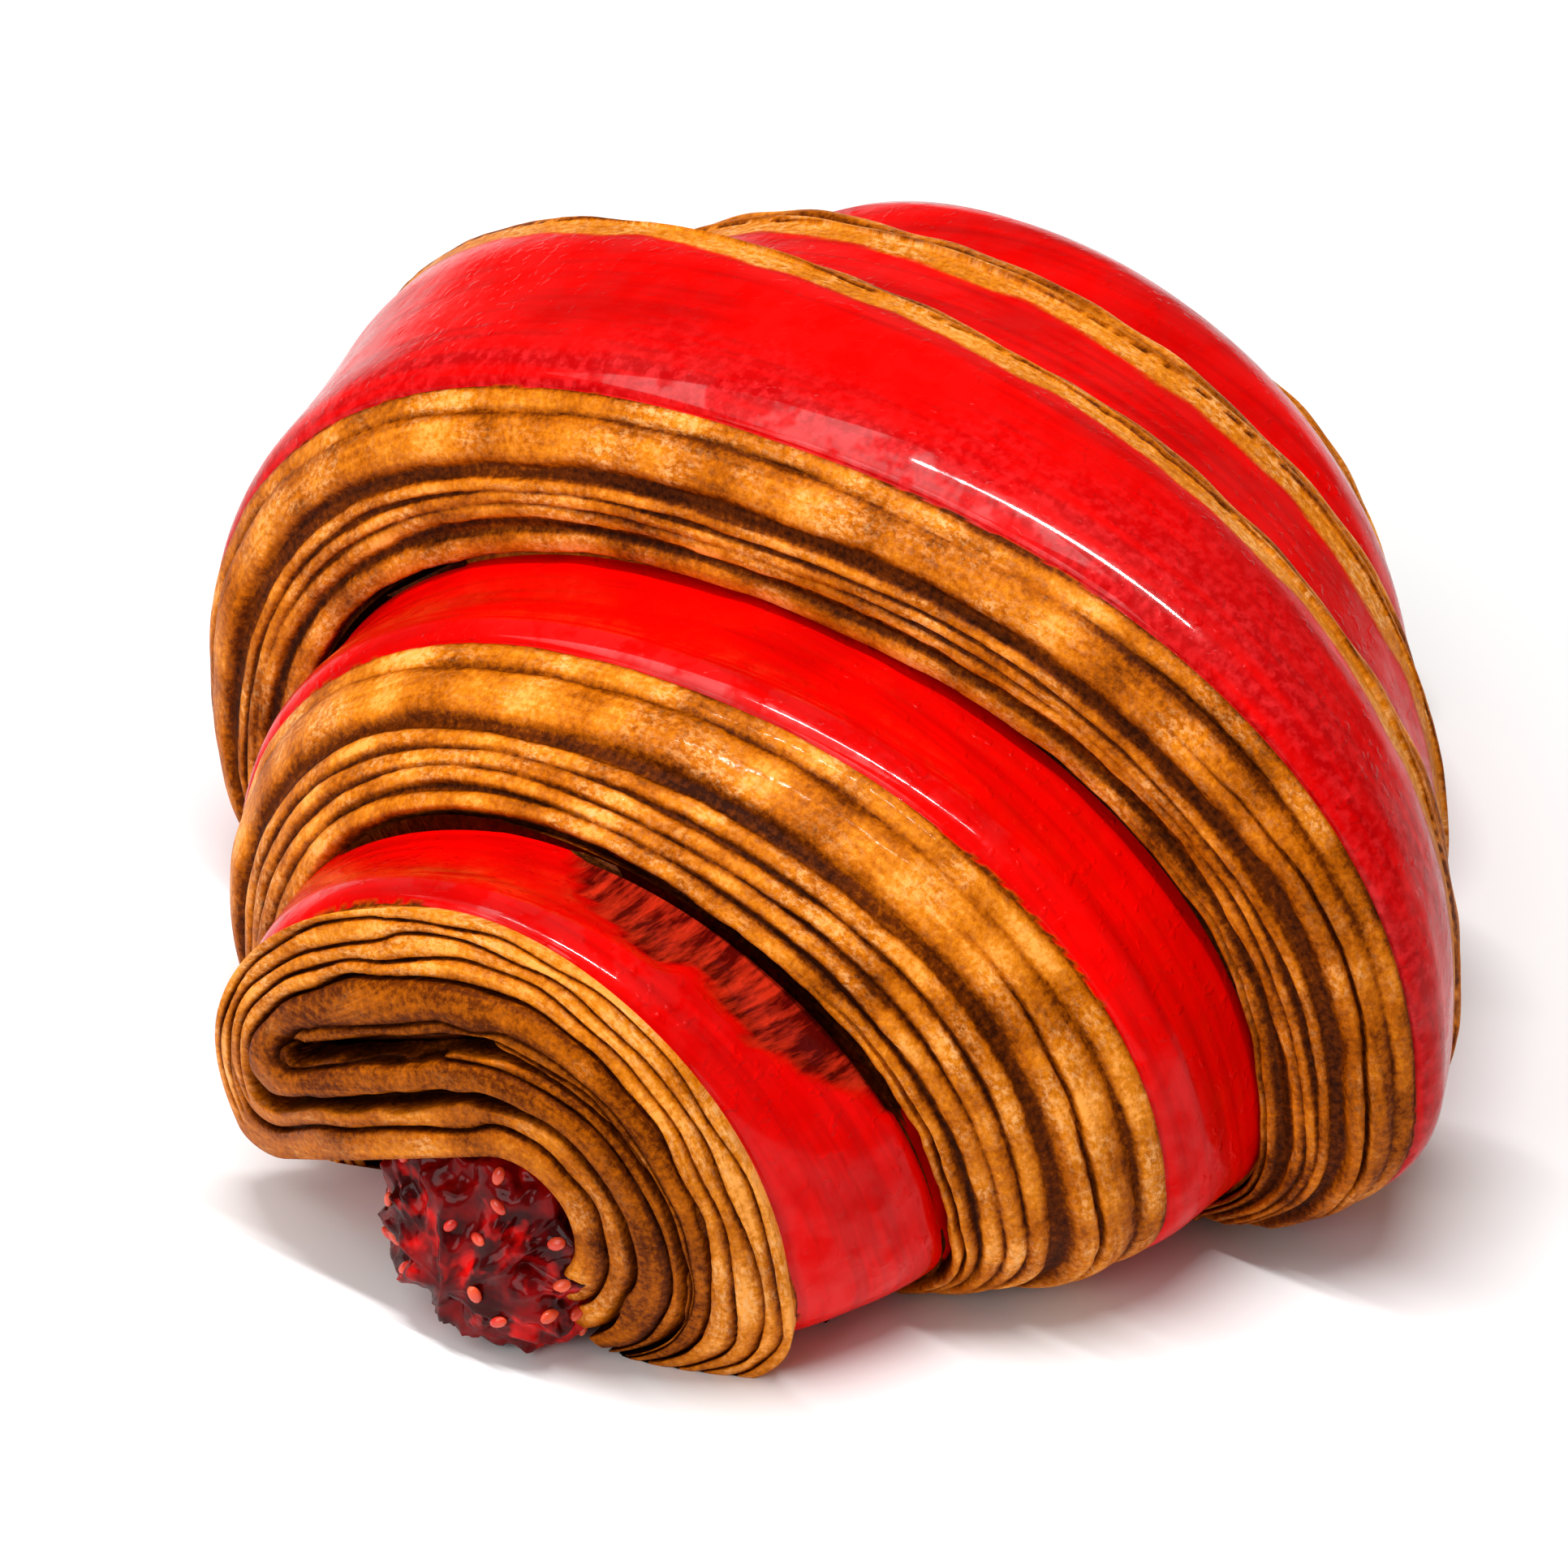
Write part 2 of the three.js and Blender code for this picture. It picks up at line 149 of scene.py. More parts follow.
# Where the next winding's far cut face meets the skin below, at each pass
FAR_CREASES = np.array([[28.2, 28.3, 34.3], [11, 36.4, 40.1], [5, 42.8, 48.4]])
LIP_SLOPES = (12, 12, -12, -12)    # how far each station travels in one turn, as it crosses the top
START_SLACK = -0.2                 # the travel stops this much of a turn before the first pass
SQUARER = 0.12                     # how much squarer the sections get with each turn
SQUARER_UNTIL = 2.3
WAIST = 0.3                        # the widest place of a section, as a share of its height
UNDERSIDE = 1.3                    # how far the sections reach below the waist before the table cuts them
BEND_FROM, BEND_TO, BEND_DRIFT = -5, 45, 9     # the far end bends to one side
SEAMS = (-8 / 26, 0.75, 1.75, 2.70)            # turns at which the three strips start and end
POINT_TAPER = 0.10                 # the dough's point closes over this much of the last turn
POINT_LEAST = 0.04

# The near end's left foot is lifted off the table: its underside slopes up to the fold and the jam.
LIFT_PLACE = (-35, 7.6, 7.9)
LIFT_SLOPE = (-0.706, -0.306)
LIFT_RIGHT = (-10, -6)
LEAST_HEIGHT = 0.02


def smoothstep(x, low, high):
    k = np.clip((x - low) / (high - low), 0, 1)
    return k * k * (3 - 2 * k)


def between(x, rise, fall):
    """1 between two smooth steps, and 0 outside them."""
    return smoothstep(x, *rise) * (1 - smoothstep(x, *fall))


def underside(x, y):
    """Lowest height of the dough at a place."""
    lift = LIFT_PLACE[2] + LIFT_SLOPE[0] * (x - LIFT_PLACE[0]) + LIFT_SLOPE[1] * (y - LIFT_PLACE[1])
    return np.maximum(LEAST_HEIGHT, lift * smoothstep(y, *LIFT_RIGHT))


def along_turn(values, turn, slope=None):
    """A value known at the three passes, for any turn."""
    k = turn - FIRST_PASS
    if slope is None:
        bend = (values[2] - 2 * values[1] + values[0]) / 2
        return values[0] + (values[1] - values[0] - bend) * k + bend * k * k
    start = np.clip(np.floor(k), 0, 1).astype(int)
    s = k - start
    first, rise = values[start], values[start + 1] - values[start]
    over = first + slope * s + 3 * (rise - slope) * s ** 2 - 2 * (rise - slope) * s ** 3
    before = values[0] + slope * np.maximum(s, START_SLACK)
    after = values[2] + slope * (s - 1)
    return np.where(s < 0, before, np.where(s > 1, after, over))


def sized(passes, turn, slope):
    """Place along the roll, half width and height at each turn."""
    place = along_turn(passes[:, 0], turn, slope)
    return np.stack([place, along_turn(passes[:, 1], turn), along_turn(passes[:, 2], turn)], -1)


def station(index, turn):
    return sized(STATIONS[:, index], turn, LIP_SLOPES[index])


def drift(x):
    return BEND_DRIFT * smoothstep(x, BEND_FROM, BEND_TO)


def outline(sizes, turn):
    """Points of the roll's sections, in millimetres, from places, half widths and heights."""
    x, half_width, height = sizes[..., 0], sizes[..., 1], sizes[..., 2]
    angle = math.pi * (1 - 2 * turn)
    square = 2 / (2 + SQUARER * np.clip(turn, 0, SQUARER_UNTIL))
    across = np.sign(np.cos(angle)) * np.abs(np.cos(angle)) ** square
    rise = np.sign(np.sin(angle)) * np.abs(np.sin(angle)) ** square
    waist = WAIST * height
    z = waist + np.where(rise > 0, (height - waist) * rise, UNDERSIDE * waist * rise)
    return np.stack([x - MIDDLE[0], drift(x) - half_width * across - MIDDLE[1], z], -1)


SLAB = 4.8                         # thickness of the dough, and so the width of the first cut face
RESTS_BELOW = (0.6, 1.0)           # from here on a cut face ends on the winding below


def crease(lip, turn):
    """Where a cut face ends inside: one slab deep in the first winding, and then on the winding below."""
    below = station(1, turn - 1) if lip == 0 else sized(FAR_CREASES, turn - 1, LIP_SLOPES[3])
    rim = station(lip, turn)
    rim[..., 1:] -= SLAB
    return rim + (below - rim) * smoothstep(turn, *RESTS_BELOW)[..., None]


def wander(along, wave, seed, octaves=4):
    """A smooth random curve between about -1 and 1, with bends about one wave long."""
    draw = np.random.default_rng(seed)
    total = np.zeros_like(along)
    for octave in range(octaves):
        shift = draw.uniform(0, 2 * math.pi)
        total += np.sin(along * 2 * math.pi * 1.62 ** octave / wave + shift) / 1.35 ** octave
    return total / 2


def varied(how, along, seed, octaves=4):
    """A value that wanders: how gives its mean, its spread and its wave in millimetres."""
    mean, spread, wave = how
    return mean + spread * wander(along, wave, seed, octaves)


# The layers of a cut face from its lip inwards: width, how proud the ridge stands, width and depth of
# the gap after it, all in millimetres, on the second winding and on the third.
LAYERS = {
    "rim":      ((1.3, 0.40, 0.22, 0.55), (1.4, 0.40, 0.22, 0.60)),
    "shining":  ((2.6, 0.75, 1.00, 0.75), (2.7, 0.75, 1.25, 0.95)),
    "fine_1":   ((1.2, 0.40, 0.22, 0.50), (0.95, 0.30, 0.20, 0.35)),
    "fine_2":   ((1.3, 0.42, 0.22, 0.55), (0.95, 0.30, 0.20, 0.35)),
    "fine_3":   ((1.3, 0.45, 0.45, 0.80), (0.95, 0.30, 0.85, 0.95)),
    "last":     ((1.6, 0.50, 0.60, 1.60), (1.9, 0.60, 0.30, 0.50)),
}
THIRD_LAYERS_FROM = (1.4, 1.9)     # turns between which the layers change to the third winding's
ROUNDNESS = 2.6                    # exponent of a ridge's section: 2 is an ellipse
RIDGE_SPREAD = 0.3                 # a ridge reaches over this share of its gap
# How the layers vary along a face: mean, spread and wave
STRAY, TREMBLE, FRAY = (0, 0.26, 44), (0, 0.05, 9), (0, 0.03, 2.3)
PROUDNESS, CREST_TONE = (1, 0.25, 22), (0.78, 0.22, 15)
GAP_DEPTH, GAP_WIDTH, GAP_FADE = (0.75, 0.6, 17), (1, 0.35, 11), (0.80, 0.45, 26)
DEPTH_RANGE, FADE_RANGE = (0.15, 3), (0.35, 1)
SLIT = (0.35, 0.07)                # half width of a slit: share of its gap, and what is added
WIDE_GAP = (0.5, 1.0)              # a gap this wide is a brown trough with a faint slit
TROUGH_TONE = 0.3
# Painted shade in a slit, and how much less of it a wide trough gets
SLIT_PAINTED_SHADE, TROUGH_LIGHTER = 0.92, 0.42
SIDE_AT, SIDE_REACH = 0.56, (0.22, 0.08)       # where a face looks sideways, on the right
SIDE_GAPS = 0.75                   # there every gap opens, and wide ridges split
SPLIT_OVER = 1.5                   # a ridge wider than this splits
# A split: its width, its depth, the painted shade in it, and how far it strays
SPLIT_WIDTH, SPLIT_DEPTH, SPLIT_PAINTED_SHADE, SPLIT_STRAY = 0.13, 1.1, 0.85, 1.6


def layered(share, along, turn, seed):
    """Relief and tone of a cut face, with painted shade darkening its slits and splits: share runs from 0 at
    the lip to 1 at the crease.
    """
    pick = smoothstep(turn, *THIRD_LAYERS_FROM)
    parts = [np.array(second) + (np.array(third) - np.array(second)) * pick[..., None]
             for second, third in LAYERS.values()]
    whole = sum(part[..., 0] + part[..., 2] for part in parts)
    relief = np.zeros_like(share)
    tone = np.zeros_like(share)
    here = share * whole + varied(FRAY, along, seed + 91, 2)
    start = np.zeros_like(share)
    side = smoothstep(np.abs(turn % 1 - SIDE_AT), *SIDE_REACH)
    for number, part in enumerate(parts):
        ridge, proud, gap, depth = (part[..., i] for i in range(4))
        wobble = varied(STRAY, along, seed + number, 2) + varied(TREMBLE, along, seed + 20 + number, 2)
        end = start + ridge
        middle, half = (start + end) / 2, ridge / 2 + gap * RIDGE_SPREAD
        swell = np.sqrt(np.clip(1 - (np.abs(here - middle - wobble) / half) ** ROUNDNESS, 0, 1))
        relief = np.maximum(relief, proud * varied(PROUDNESS, along, seed + 40 + number) * swell)
        tone = np.maximum(tone, swell * varied(CREST_TONE, along, seed + 60 + number))
        opened = depth * (1 + SIDE_GAPS * side) * varied(GAP_DEPTH, along, seed + 80 + number)
        wide = (SLIT[0] * gap + SLIT[1]) * varied(GAP_WIDTH, along, seed + 140 + number)
        slit = np.exp(-((here - end - gap / 2 - wobble) / wide) ** 2)
        relief = relief - np.clip(opened, *DEPTH_RANGE) * slit
        faded = np.clip(varied(GAP_FADE, along, seed + 160 + number), *FADE_RANGE)
        trough = smoothstep(gap, *WIDE_GAP)
        # Painted shade: the slits are darkened, less in a wide trough and more where the face looks
        # sideways.
        painted_slit_shade = (SLIT_PAINTED_SHADE - TROUGH_LIGHTER * trough) * np.maximum(faded, side)
        tone = np.maximum(tone, TROUGH_TONE * trough) * (1 - painted_slit_shade * slit)
        if ridge.max() > SPLIT_OVER:
            split = np.exp(-((here - middle - SPLIT_STRAY * wobble) / SPLIT_WIDTH) ** 2)
            relief = relief - SPLIT_DEPTH * side * split
            # Painted shade darkens the split as well.
            tone = tone * (1 - SPLIT_PAINTED_SHADE * side * split)
        start = end + gap
    return relief, np.clip(tone, 0, 1)


def sheet_of_points(rows, columns):
    """A flat grid of vertices as a mesh, with the row and column of each vertex."""
    bm = bmesh.new()
    bmesh.ops.create_grid(bm, x_segments=rows - 1, y_segments=columns - 1, size=1)
    mesh = bpy.data.meshes.new("sheet")
    bm.to_mesh(mesh)
    bm.free()
    flat = np.zeros(len(mesh.vertices) * 3)
    mesh.vertices.foreach_get("co", flat)
    flat = flat.reshape(-1, 3)
    row = np.rint((flat[:, 0] + 1) / 2 * (rows - 1)).astype(int)
    column = np.rint((flat[:, 1] + 1) / 2 * (columns - 1)).astype(int)
    return mesh, row, column


def vertex_values(mesh, name, values):
    mesh.attributes.new(name, "FLOAT", "POINT").data.foreach_set("value", values.astype(np.float32))


# What the dough's material reads at each vertex: how pale a cut layer is, with painted shade in its gaps and
# at the sides of the outermost face, where the red skin is, where the skin is torn, where it is rubbed
# darker, and where the glaze has pooled.
DOUGH_MASKS = ("tone", "skin", "torn", "rubbed", "pooled")


def dough_values(mesh, given):
    """Gives the mesh all the masks, zero where none is given."""
    for name in DOUGH_MASKS:
        vertex_values(mesh, name, given.get(name, np.zeros(len(mesh.vertices))))


def wrap_uv(mesh, across, along):
    """A UV map that follows the surface, in metres."""
    corners = np.zeros(len(mesh.loops), dtype=np.int32)
    mesh.loops.foreach_get("vertex_index", corners)
    uv = np.stack([along[corners], across[corners]], -1)
    mesh.uv_layers.new(name="layers").data.foreach_set("uv", uv.astype(np.float32).ravel())


WELD = 0.0005 * MM                 # points closer than this are one


def close_up(mesh):
    """Joins the sheet's edges where they meet, closes what is left open and turns the faces outwards."""
    bm = bmesh.new()
    bm.from_mesh(mesh)
    bmesh.ops.remove_doubles(bm, verts=bm.verts, dist=WELD)
    bmesh.ops.dissolve_degenerate(bm, edges=bm.edges, dist=WELD / 4)
    bmesh.ops.holes_fill(bm, edges=bm.edges, sides=0)
    bmesh.ops.recalc_face_normals(bm, faces=bm.faces)
    for face in bm.faces:
        face.smooth = True
    bm.to_mesh(mesh)
    bm.free()


def dough_piece(name, points, across, along, masks):
    """Bends a flat sheet through a grid of points, wraps its UV map round it and closes it up."""
    mesh, row, column = sheet_of_points(*points.shape[:2])
    mesh.name = name
    mesh.vertices.foreach_set("co", (points[row, column] * MM).ravel())
    dough_values(mesh, {key: values[row, column] for key, values in masks.items()})
    wrap_uv(mesh, across[row, column] * MM, along[row, column] * MM)
    close_up(mesh)
    return link_object(name, mesh)


FACE_POINTS, SKIN_POINTS, FAR_FACE_POINTS = 96, 64, 48
ROW_SPACING = 0.62
NEAR_BELLY, FAR_BELLY = -1.6, 1.6  # the cut faces bulge
EDGE_SPACING = 0.12                # points lie this much closer together at a skin's two edges
SHOULDER_SHARE = 0.35              # a shoulder is at most this share of the width from its lip
LIP_ROUND = (2.6, 1.0)             # the skin rolls over at the near lip: over what width, and how far down


def face_profile(inner, lip, belly, shares):
    """Stations of a cut face at shares of the way from its crease (0) to its lip (1)."""
    sizes = inner[:, None, :] + (lip - inner)[:, None, :] * shares[None, :, None]
    sizes[..., 0] += belly * np.sin(math.pi * shares)[None, :]
    return sizes


def rounded_between(x, knots, values):
    """A smooth curve through the four stations of a skin."""
    slopes = np.gradient(values, knots)
    inner = (values[2] - values[1]) / (knots[2] - knots[1])
    slopes[1] = slopes[2] = inner
    index = np.clip(np.searchsorted(knots, x) - 1, 0, 2)
    step = knots[index + 1] - knots[index]
    s = (x - knots[index]) / step
    a, b = np.array(values)[index], np.array(values)[index + 1]
    ma, mb = slopes[index] * step, slopes[index + 1] * step
    return ((2 * s ** 3 - 3 * s ** 2 + 1) * a + (s ** 3 - 2 * s ** 2 + s) * ma
            + (-2 * s ** 3 + 3 * s ** 2) * b + (s ** 3 - s ** 2) * mb)


def skin_profile(lips):
    """Stations of the skin from the near lip to the far one."""
    k = np.linspace(0, 1, SKIN_POINTS)
    k = k - (1 - EDGE_SPACING) * np.sin(2 * math.pi * k) / (2 * math.pi)
    knots = np.stack([lip[..., 0] for lip in lips], -1)
    wide = knots[:, 3] - knots[:, 0]
    knots[:, 1] = np.minimum(knots[:, 1], knots[:, 0] + SHOULDER_SHARE * wide)
    knots[:, 2] = np.maximum(knots[:, 2], knots[:, 3] - SHOULDER_SHARE * wide)
    skin = np.zeros((len(knots), SKIN_POINTS, 3))
    for i in range(len(knots)):
        x = knots[i, 0] + (knots[i, 3] - knots[i, 0]) * k
        skin[i, :, 0] = x
        for size in (1, 2):
            skin[i, :, size] = rounded_between(x, knots[i], [lip[i, size] for lip in lips])
    from_lip = np.clip((skin[..., 0] - knots[:, :1]) / LIP_ROUND[0], 0, 1)
    skin[..., 1:] -= LIP_ROUND[1] * (1 - np.sqrt(1 - (1 - from_lip) ** 2))[..., None]
    return skin


SUNK_SHARE, SUNK_SHIFT = 0.6, 4    # a strip's hidden edges: share of the crease's size, and shift inwards
# Where the windings depart from the plain stations, each with the turns over which it comes or goes
LIP_LIFT, LIP_LIFT_FROM = 0.8, (0.7, 0.9)      # share of the lip's rounding that is given back
END_RECESS, END_COVERS = 5, (0.55, 0.75)       # the first cut face lies this far behind the folded end
LEFT_WIDENING = (1.0, 2.6, 0, 0)   # the first winding stands out more on the left, from lip to lip
LEFT_TURNS = ((-0.06, 0.06), (0.10, 0.25))
LEFT_RECESS, LEFT_FOOT = 6, (-0.02, 0.10)      # its lip lies further back at the lifted foot
RIGHT_TUCK, RIGHT_TURNS = 1.7, ((0.28, 0.45), (0.8, 1.0))
# The second winding's innermost layer hangs this far above the skin below.
OVERHANG, OVERHANG_TURNS = 0.9, ((0.85, 1.0), (1.18, 1.34))


def winding_stations(turn):
    """Stations round a winding's whole section, at each turn."""
    lips = [station(index, turn) for index in range(4)]
    creases = [crease(0, turn), crease(3, turn)]
    creases[0][:, 0] += END_RECESS * (1 - smoothstep(turn, *END_COVERS))
    for lip, widening in zip(lips, LEFT_WIDENING):
        lip[:, 1] += widening * between(turn, *LEFT_TURNS)
    lips[0][:, 1:] += LIP_LIFT * LIP_ROUND[1] * smoothstep(turn, *LIP_LIFT_FROM)[:, None]
    lips[0][:, 0] += LEFT_RECESS * (1 - smoothstep(turn, *LEFT_FOOT))
    lips[0][:, 1] -= RIGHT_TUCK * between(turn, *RIGHT_TURNS)
    creases[0][:, 1:] += OVERHANG * between(turn, *OVERHANG_TURNS)[:, None]
    near_rim = lips[0] - (0, LIP_ROUND[1], LIP_ROUND[1])
    near = face_profile(creases[0], near_rim, NEAR_BELLY, np.linspace(0, 1, FACE_POINTS))
    far = face_profile(creases[1], lips[3], FAR_BELLY, np.linspace(1, 0, FAR_FACE_POINTS))
    skin = skin_profile(lips)
    taper = np.clip((SEAMS[3] - turn) / POINT_TAPER, POINT_LEAST, 1)[:, None]
    middle = (lips[0][:, :1] + lips[3][:, :1]) / 2
    below = ((creases[0] + creases[1]) / 2)[:, None, 1:]
    for sizes in (near, skin, far):
        sizes[..., 0] = middle + (sizes[..., 0] - middle) * taper
        sizes[..., 1:] = below + (sizes[..., 1:] - below) * taper[..., None] ** 0.5
    sunk_far = creases[1] * (1, SUNK_SHARE, SUNK_SHARE)
    sunk_near = creases[0] * (1, SUNK_SHARE, SUNK_SHARE) + (SUNK_SHIFT, 0, 0)
    return np.concatenate([near, skin, far, sunk_far[:, None], sunk_near[:, None], near[:, :1]], 1)


def grid_normals(points):
    """Unit normals of a grid of points, which point away from the roll's axis."""
    normal = np.cross(np.gradient(points, axis=0), np.gradient(points, axis=1))
    return normal / np.maximum(np.linalg.norm(normal, axis=-1, keepdims=True), 1e-9)


PLAIN_TONE, BARE_TONE = 0.5, 0.35  # tone of hidden dough, and what the bare rim adds
FAR_RIM, RIM_VARIES, RIM_EDGE = 1.5, (1, 0.25, 16), 0.5    # bare edge of dough along a far lip
RUBBED, RUBBED_VARIES = 7, (1, 0.3, 30)        # width of the darker, rubbed skin along a near lip
RUBBED_FULL = 0.2                  # share of that width where it is darkest
RUBBED_FROM, RUBBED_WIDENS = (1.85, 2.05), (2.22, 2.40)
POOL_RISE, POOL_FALL = (0.2, 0.8), (2.5, 5.0)  # the glaze pools this far from the near lip,
POOL_TURNS = ((0.17, 0.24), (0.33, 0.40))      # over the top of each winding
# Torn skin comes out from under the second winding.
TORN_WIDTH, TORN_VARIES, TORN_TURNS = 4.5, (1, 0.2, 9), ((0.25, 0.29), (0.38, 0.45))
TORN_EDGE, TORN_LEAST, TORN_UNDER, TORN_DEPTH = 0.8, 0.3, 3, 0.45
# Painted shade: the outermost face is darker at its two sides, where less light falls on it.
PAINTED_SIDE_SHADE, PAINTED_LEFT_SHADE, PAINTED_LEFT_SHADE_TURNS = 0.25, 0.5, ((1.85, 1.95), (2.02, 2.16))
PAINTED_RIGHT_SHADE_FROM = (2.30, 2.45)
NEAR_FACE_DRAW, FAR_FACE_DRAW = 1, 300         # where each part's random draws start
RIM_DRAW, TORN_DRAW, RUBBED_DRAW = 700, 710, 720
SHIFT_PER_TURN = 200               # and along each winding they start elsewhere


def skin_masks(turn, sizes, along, across):
    """The masks of the red skin of a winding, over its skin's points alone."""
    from_near_lip = across - across[:, :1]
    from_far_lip = across[:, -1:] - across
    edge = FAR_RIM * varied(RIM_VARIES, along, RIM_DRAW)
    bare = 1 - smoothstep(from_far_lip, edge, edge + RIM_EDGE)
    reached = RUBBED * varied(RUBBED_VARIES, along, RUBBED_DRAW) * (1 + smoothstep(turn, *RUBBED_WIDENS))
    rubbed = 1 - smoothstep(from_near_lip, RUBBED_FULL * reached, reached)
    rubbed = rubbed * smoothstep(turn, *RUBBED_FROM)
    pooled = between(from_near_lip, POOL_RISE, POOL_FALL) * between(turn % 1, *POOL_TURNS)
    reach = TORN_WIDTH * between(turn, *TORN_TURNS)
    covered = crease(0, turn[:, 0] + 1)[:, None, 0]
    shown = sizes[..., 0] - covered + reach * varied(TORN_VARIES, along, TORN_DRAW)
    torn = smoothstep(shown, 0, TORN_EDGE)
    torn *= (reach > TORN_LEAST) * (sizes[..., 0] < covered + TORN_UNDER)
    return {"tone": PLAIN_TONE + BARE_TONE * bare, "skin": 1 - bare, "torn": torn,
            "rubbed": rubbed, "pooled": pooled}


def winding(name, first, last):
    """One strip of the roll between two turns."""
    around = along_turn(STATIONS[:, 1, 1] + STATIONS[:, 1, 2], (first + last) / 2)
    rows = int((last - first) * around * math.pi / ROW_SPACING)
    turn = np.linspace(first, last, rows)
    sizes = winding_stations(turn)
    columns = sizes.shape[1]
    turns = np.repeat(turn[:, None], columns, 1)
    points = outline(sizes, turns)
    normals = grid_normals(points)
    steps = np.linalg.norm(np.diff(points, axis=0), axis=-1)
    along = np.concatenate([np.zeros((1, columns)), np.cumsum(steps, 0)], 0)
    along = along[:, FACE_POINTS:FACE_POINTS + 1] + 0 * along + SHIFT_PER_TURN * first
    widths = np.linalg.norm(np.diff(points, axis=1), axis=-1)
    across = np.concatenate([np.zeros((rows, 1)), np.cumsum(widths, 1)], 1)

    near = slice(0, FACE_POINTS)
    glazed = slice(FACE_POINTS, FACE_POINTS + SKIN_POINTS)
    far = slice(FACE_POINTS + SKIN_POINTS, FACE_POINTS + SKIN_POINTS + FAR_FACE_POINTS)
    relief = np.zeros((rows, columns))
    masks = {mask_name: np.zeros((rows, columns)) for mask_name in DOUGH_MASKS}
    masks["tone"] += PLAIN_TONE
    for part, shares, seed in ((near, np.linspace(1, 0, FACE_POINTS), NEAR_FACE_DRAW),
                               (far, np.linspace(0, 1, FAR_FACE_POINTS), FAR_FACE_DRAW)):
        share = shares[None, :] + 0 * turns[:, part]
        relief[:, part], masks["tone"][:, part] = layered(share, along[:, part], turns[:, part], seed)
    # Painted shade on the two sides of the near faces
    painted_sides = PAINTED_LEFT_SHADE * between(turns[:, near], *PAINTED_LEFT_SHADE_TURNS)
    painted_sides += smoothstep(turns[:, near], *PAINTED_RIGHT_SHADE_FROM)
    masks["tone"][:, near] *= 1 - PAINTED_SIDE_SHADE * painted_sides
    on_skin = skin_masks(turns[:, glazed], sizes[:, glazed], along[:, glazed], across[:, glazed])
    for mask_name, values in on_skin.items():
        masks[mask_name][:, glazed] = values
    relief -= TORN_DEPTH * masks["torn"]

    points = points + normals * relief[..., None]
    foot = underside(points[..., 0] + MIDDLE[0], points[..., 1] + MIDDLE[1])
    points[..., 2] = np.maximum(points[..., 2], foot)
    return dough_piece(name, points, across, along, masks)


def add(tree, kind, **settings):
    """A shader node with its settings."""
    made = tree.nodes.new("ShaderNode" + kind)
    for key, value in settings.items():
        setattr(made, key, value)
    return made


def wired(tree, made, sources):
    """Sets a node's sockets, by name or number, to values or to other nodes' outputs."""
    for key, source in sources.items():
        if isinstance(source, bpy.types.NodeSocket):
            tree.links.new(source, made.inputs[key])
        else:
            made.inputs[key].default_value = source
    return made


def feed(tree, made, **sources):
    """The same by name, with underscores for spaces."""
    return wired(tree, made, {key.replace("_", " "): source for key, source in sources.items()})


def mask(tree, name):
    return add(tree, "Attribute", attribute_name=name).outputs["Fac"]


def mixed(tree, amount, first, second):
    """A colour between two; colours are given as red, green and blue."""
    shades = [shade if isinstance(shade, bpy.types.NodeSocket) else (*shade, 1) for shade in (first, second)]
    made = add(tree, "Mix", data_type="RGBA")
    return wired(tree, made, {0: amount, 6: shades[0], 7: shades[1]}).outputs[2]


def mixed_value(tree, amount, first, second):
    return wired(tree, add(tree, "Mix", data_type="FLOAT"), {0: amount, 2: first, 3: second}).outputs[0]


def ranged(tree, value, low, high, to_low=0.0, to_high=1.0):
    made = add(tree, "MapRange")
    feed(tree, made, Value=value, From_Min=low, From_Max=high, To_Min=to_low, To_Max=to_high)
    return made.outputs[0]


def reckoned(tree, operation, first, second):
    return wired(tree, add(tree, "Math", operation=operation), {0: first, 1: second}).outputs[0]


def sum_of(tree, first, second):
    return reckoned(tree, "ADD", first, second)


def product_of(tree, first, second):
    return reckoned(tree, "MULTIPLY", first, second)


def grain(tree, where, scale, detail=3.0, roughness=0.55):
    made = add(tree, "TexNoise")
    return feed(tree, made, Vector=where, Scale=scale, Detail=detail, Roughness=roughness).outputs["Fac"]


def stretched(tree, where, scale):
    return feed(tree, add(tree, "Mapping"), Vector=where, Scale=scale).outputs[0]


def shaded_by(tree, value, shades):
    """A colour picked by a value from shades at rising places."""
    ramp = add(tree, "ValToRGB")
    first, *inner, last = shades
    for element, (position, shade) in zip(ramp.color_ramp.elements, (first, last)):
        element.position = position
        element.color = (*shade, 1)
    for position, shade in inner:
        ramp.color_ramp.elements.new(position).color = (*shade, 1)
    return feed(tree, ramp, Fac=value).outputs["Color"]


# Baked layers, from the black brown painted shade of a gap to the pale crest of a ridge
LAYER_SHADES = (
    (0.0, (0.030, 0.0045, 0.0001)),
    (0.25, (0.125, 0.021, 0.0001)),
    (0.55, (0.43, 0.096, 0.0006)),
    (0.80, (0.68, 0.197, 0.006)),
    (1.0, (0.94, 0.360, 0.060)),
)
# Painted highlight: a pale cream glint on the bubbles of the paler crests
PAINTED_GLINT_CREAM = (0.92, 0.47, 0.16)
BRIGHT_RED, DEEP_RED, COMBED_RED = (0.80, 0.0006, 0.0001), (0.55, 0.0006, 0.0002), (0.33, 0.0004, 0.0003)
CRIMSON, CRIMSON_SPECK = (0.40, 0.0006, 0.0015), (0.60, 0.012, 0.014)
TORN_DARK, TORN_FIBRE = (0.085, 0.0015, 0.0008), (0.55, 0.022, 0.006)
SKIN_ROUGHNESS, LAYER_ROUGHNESS = 0.2, (0.34, 0.55)


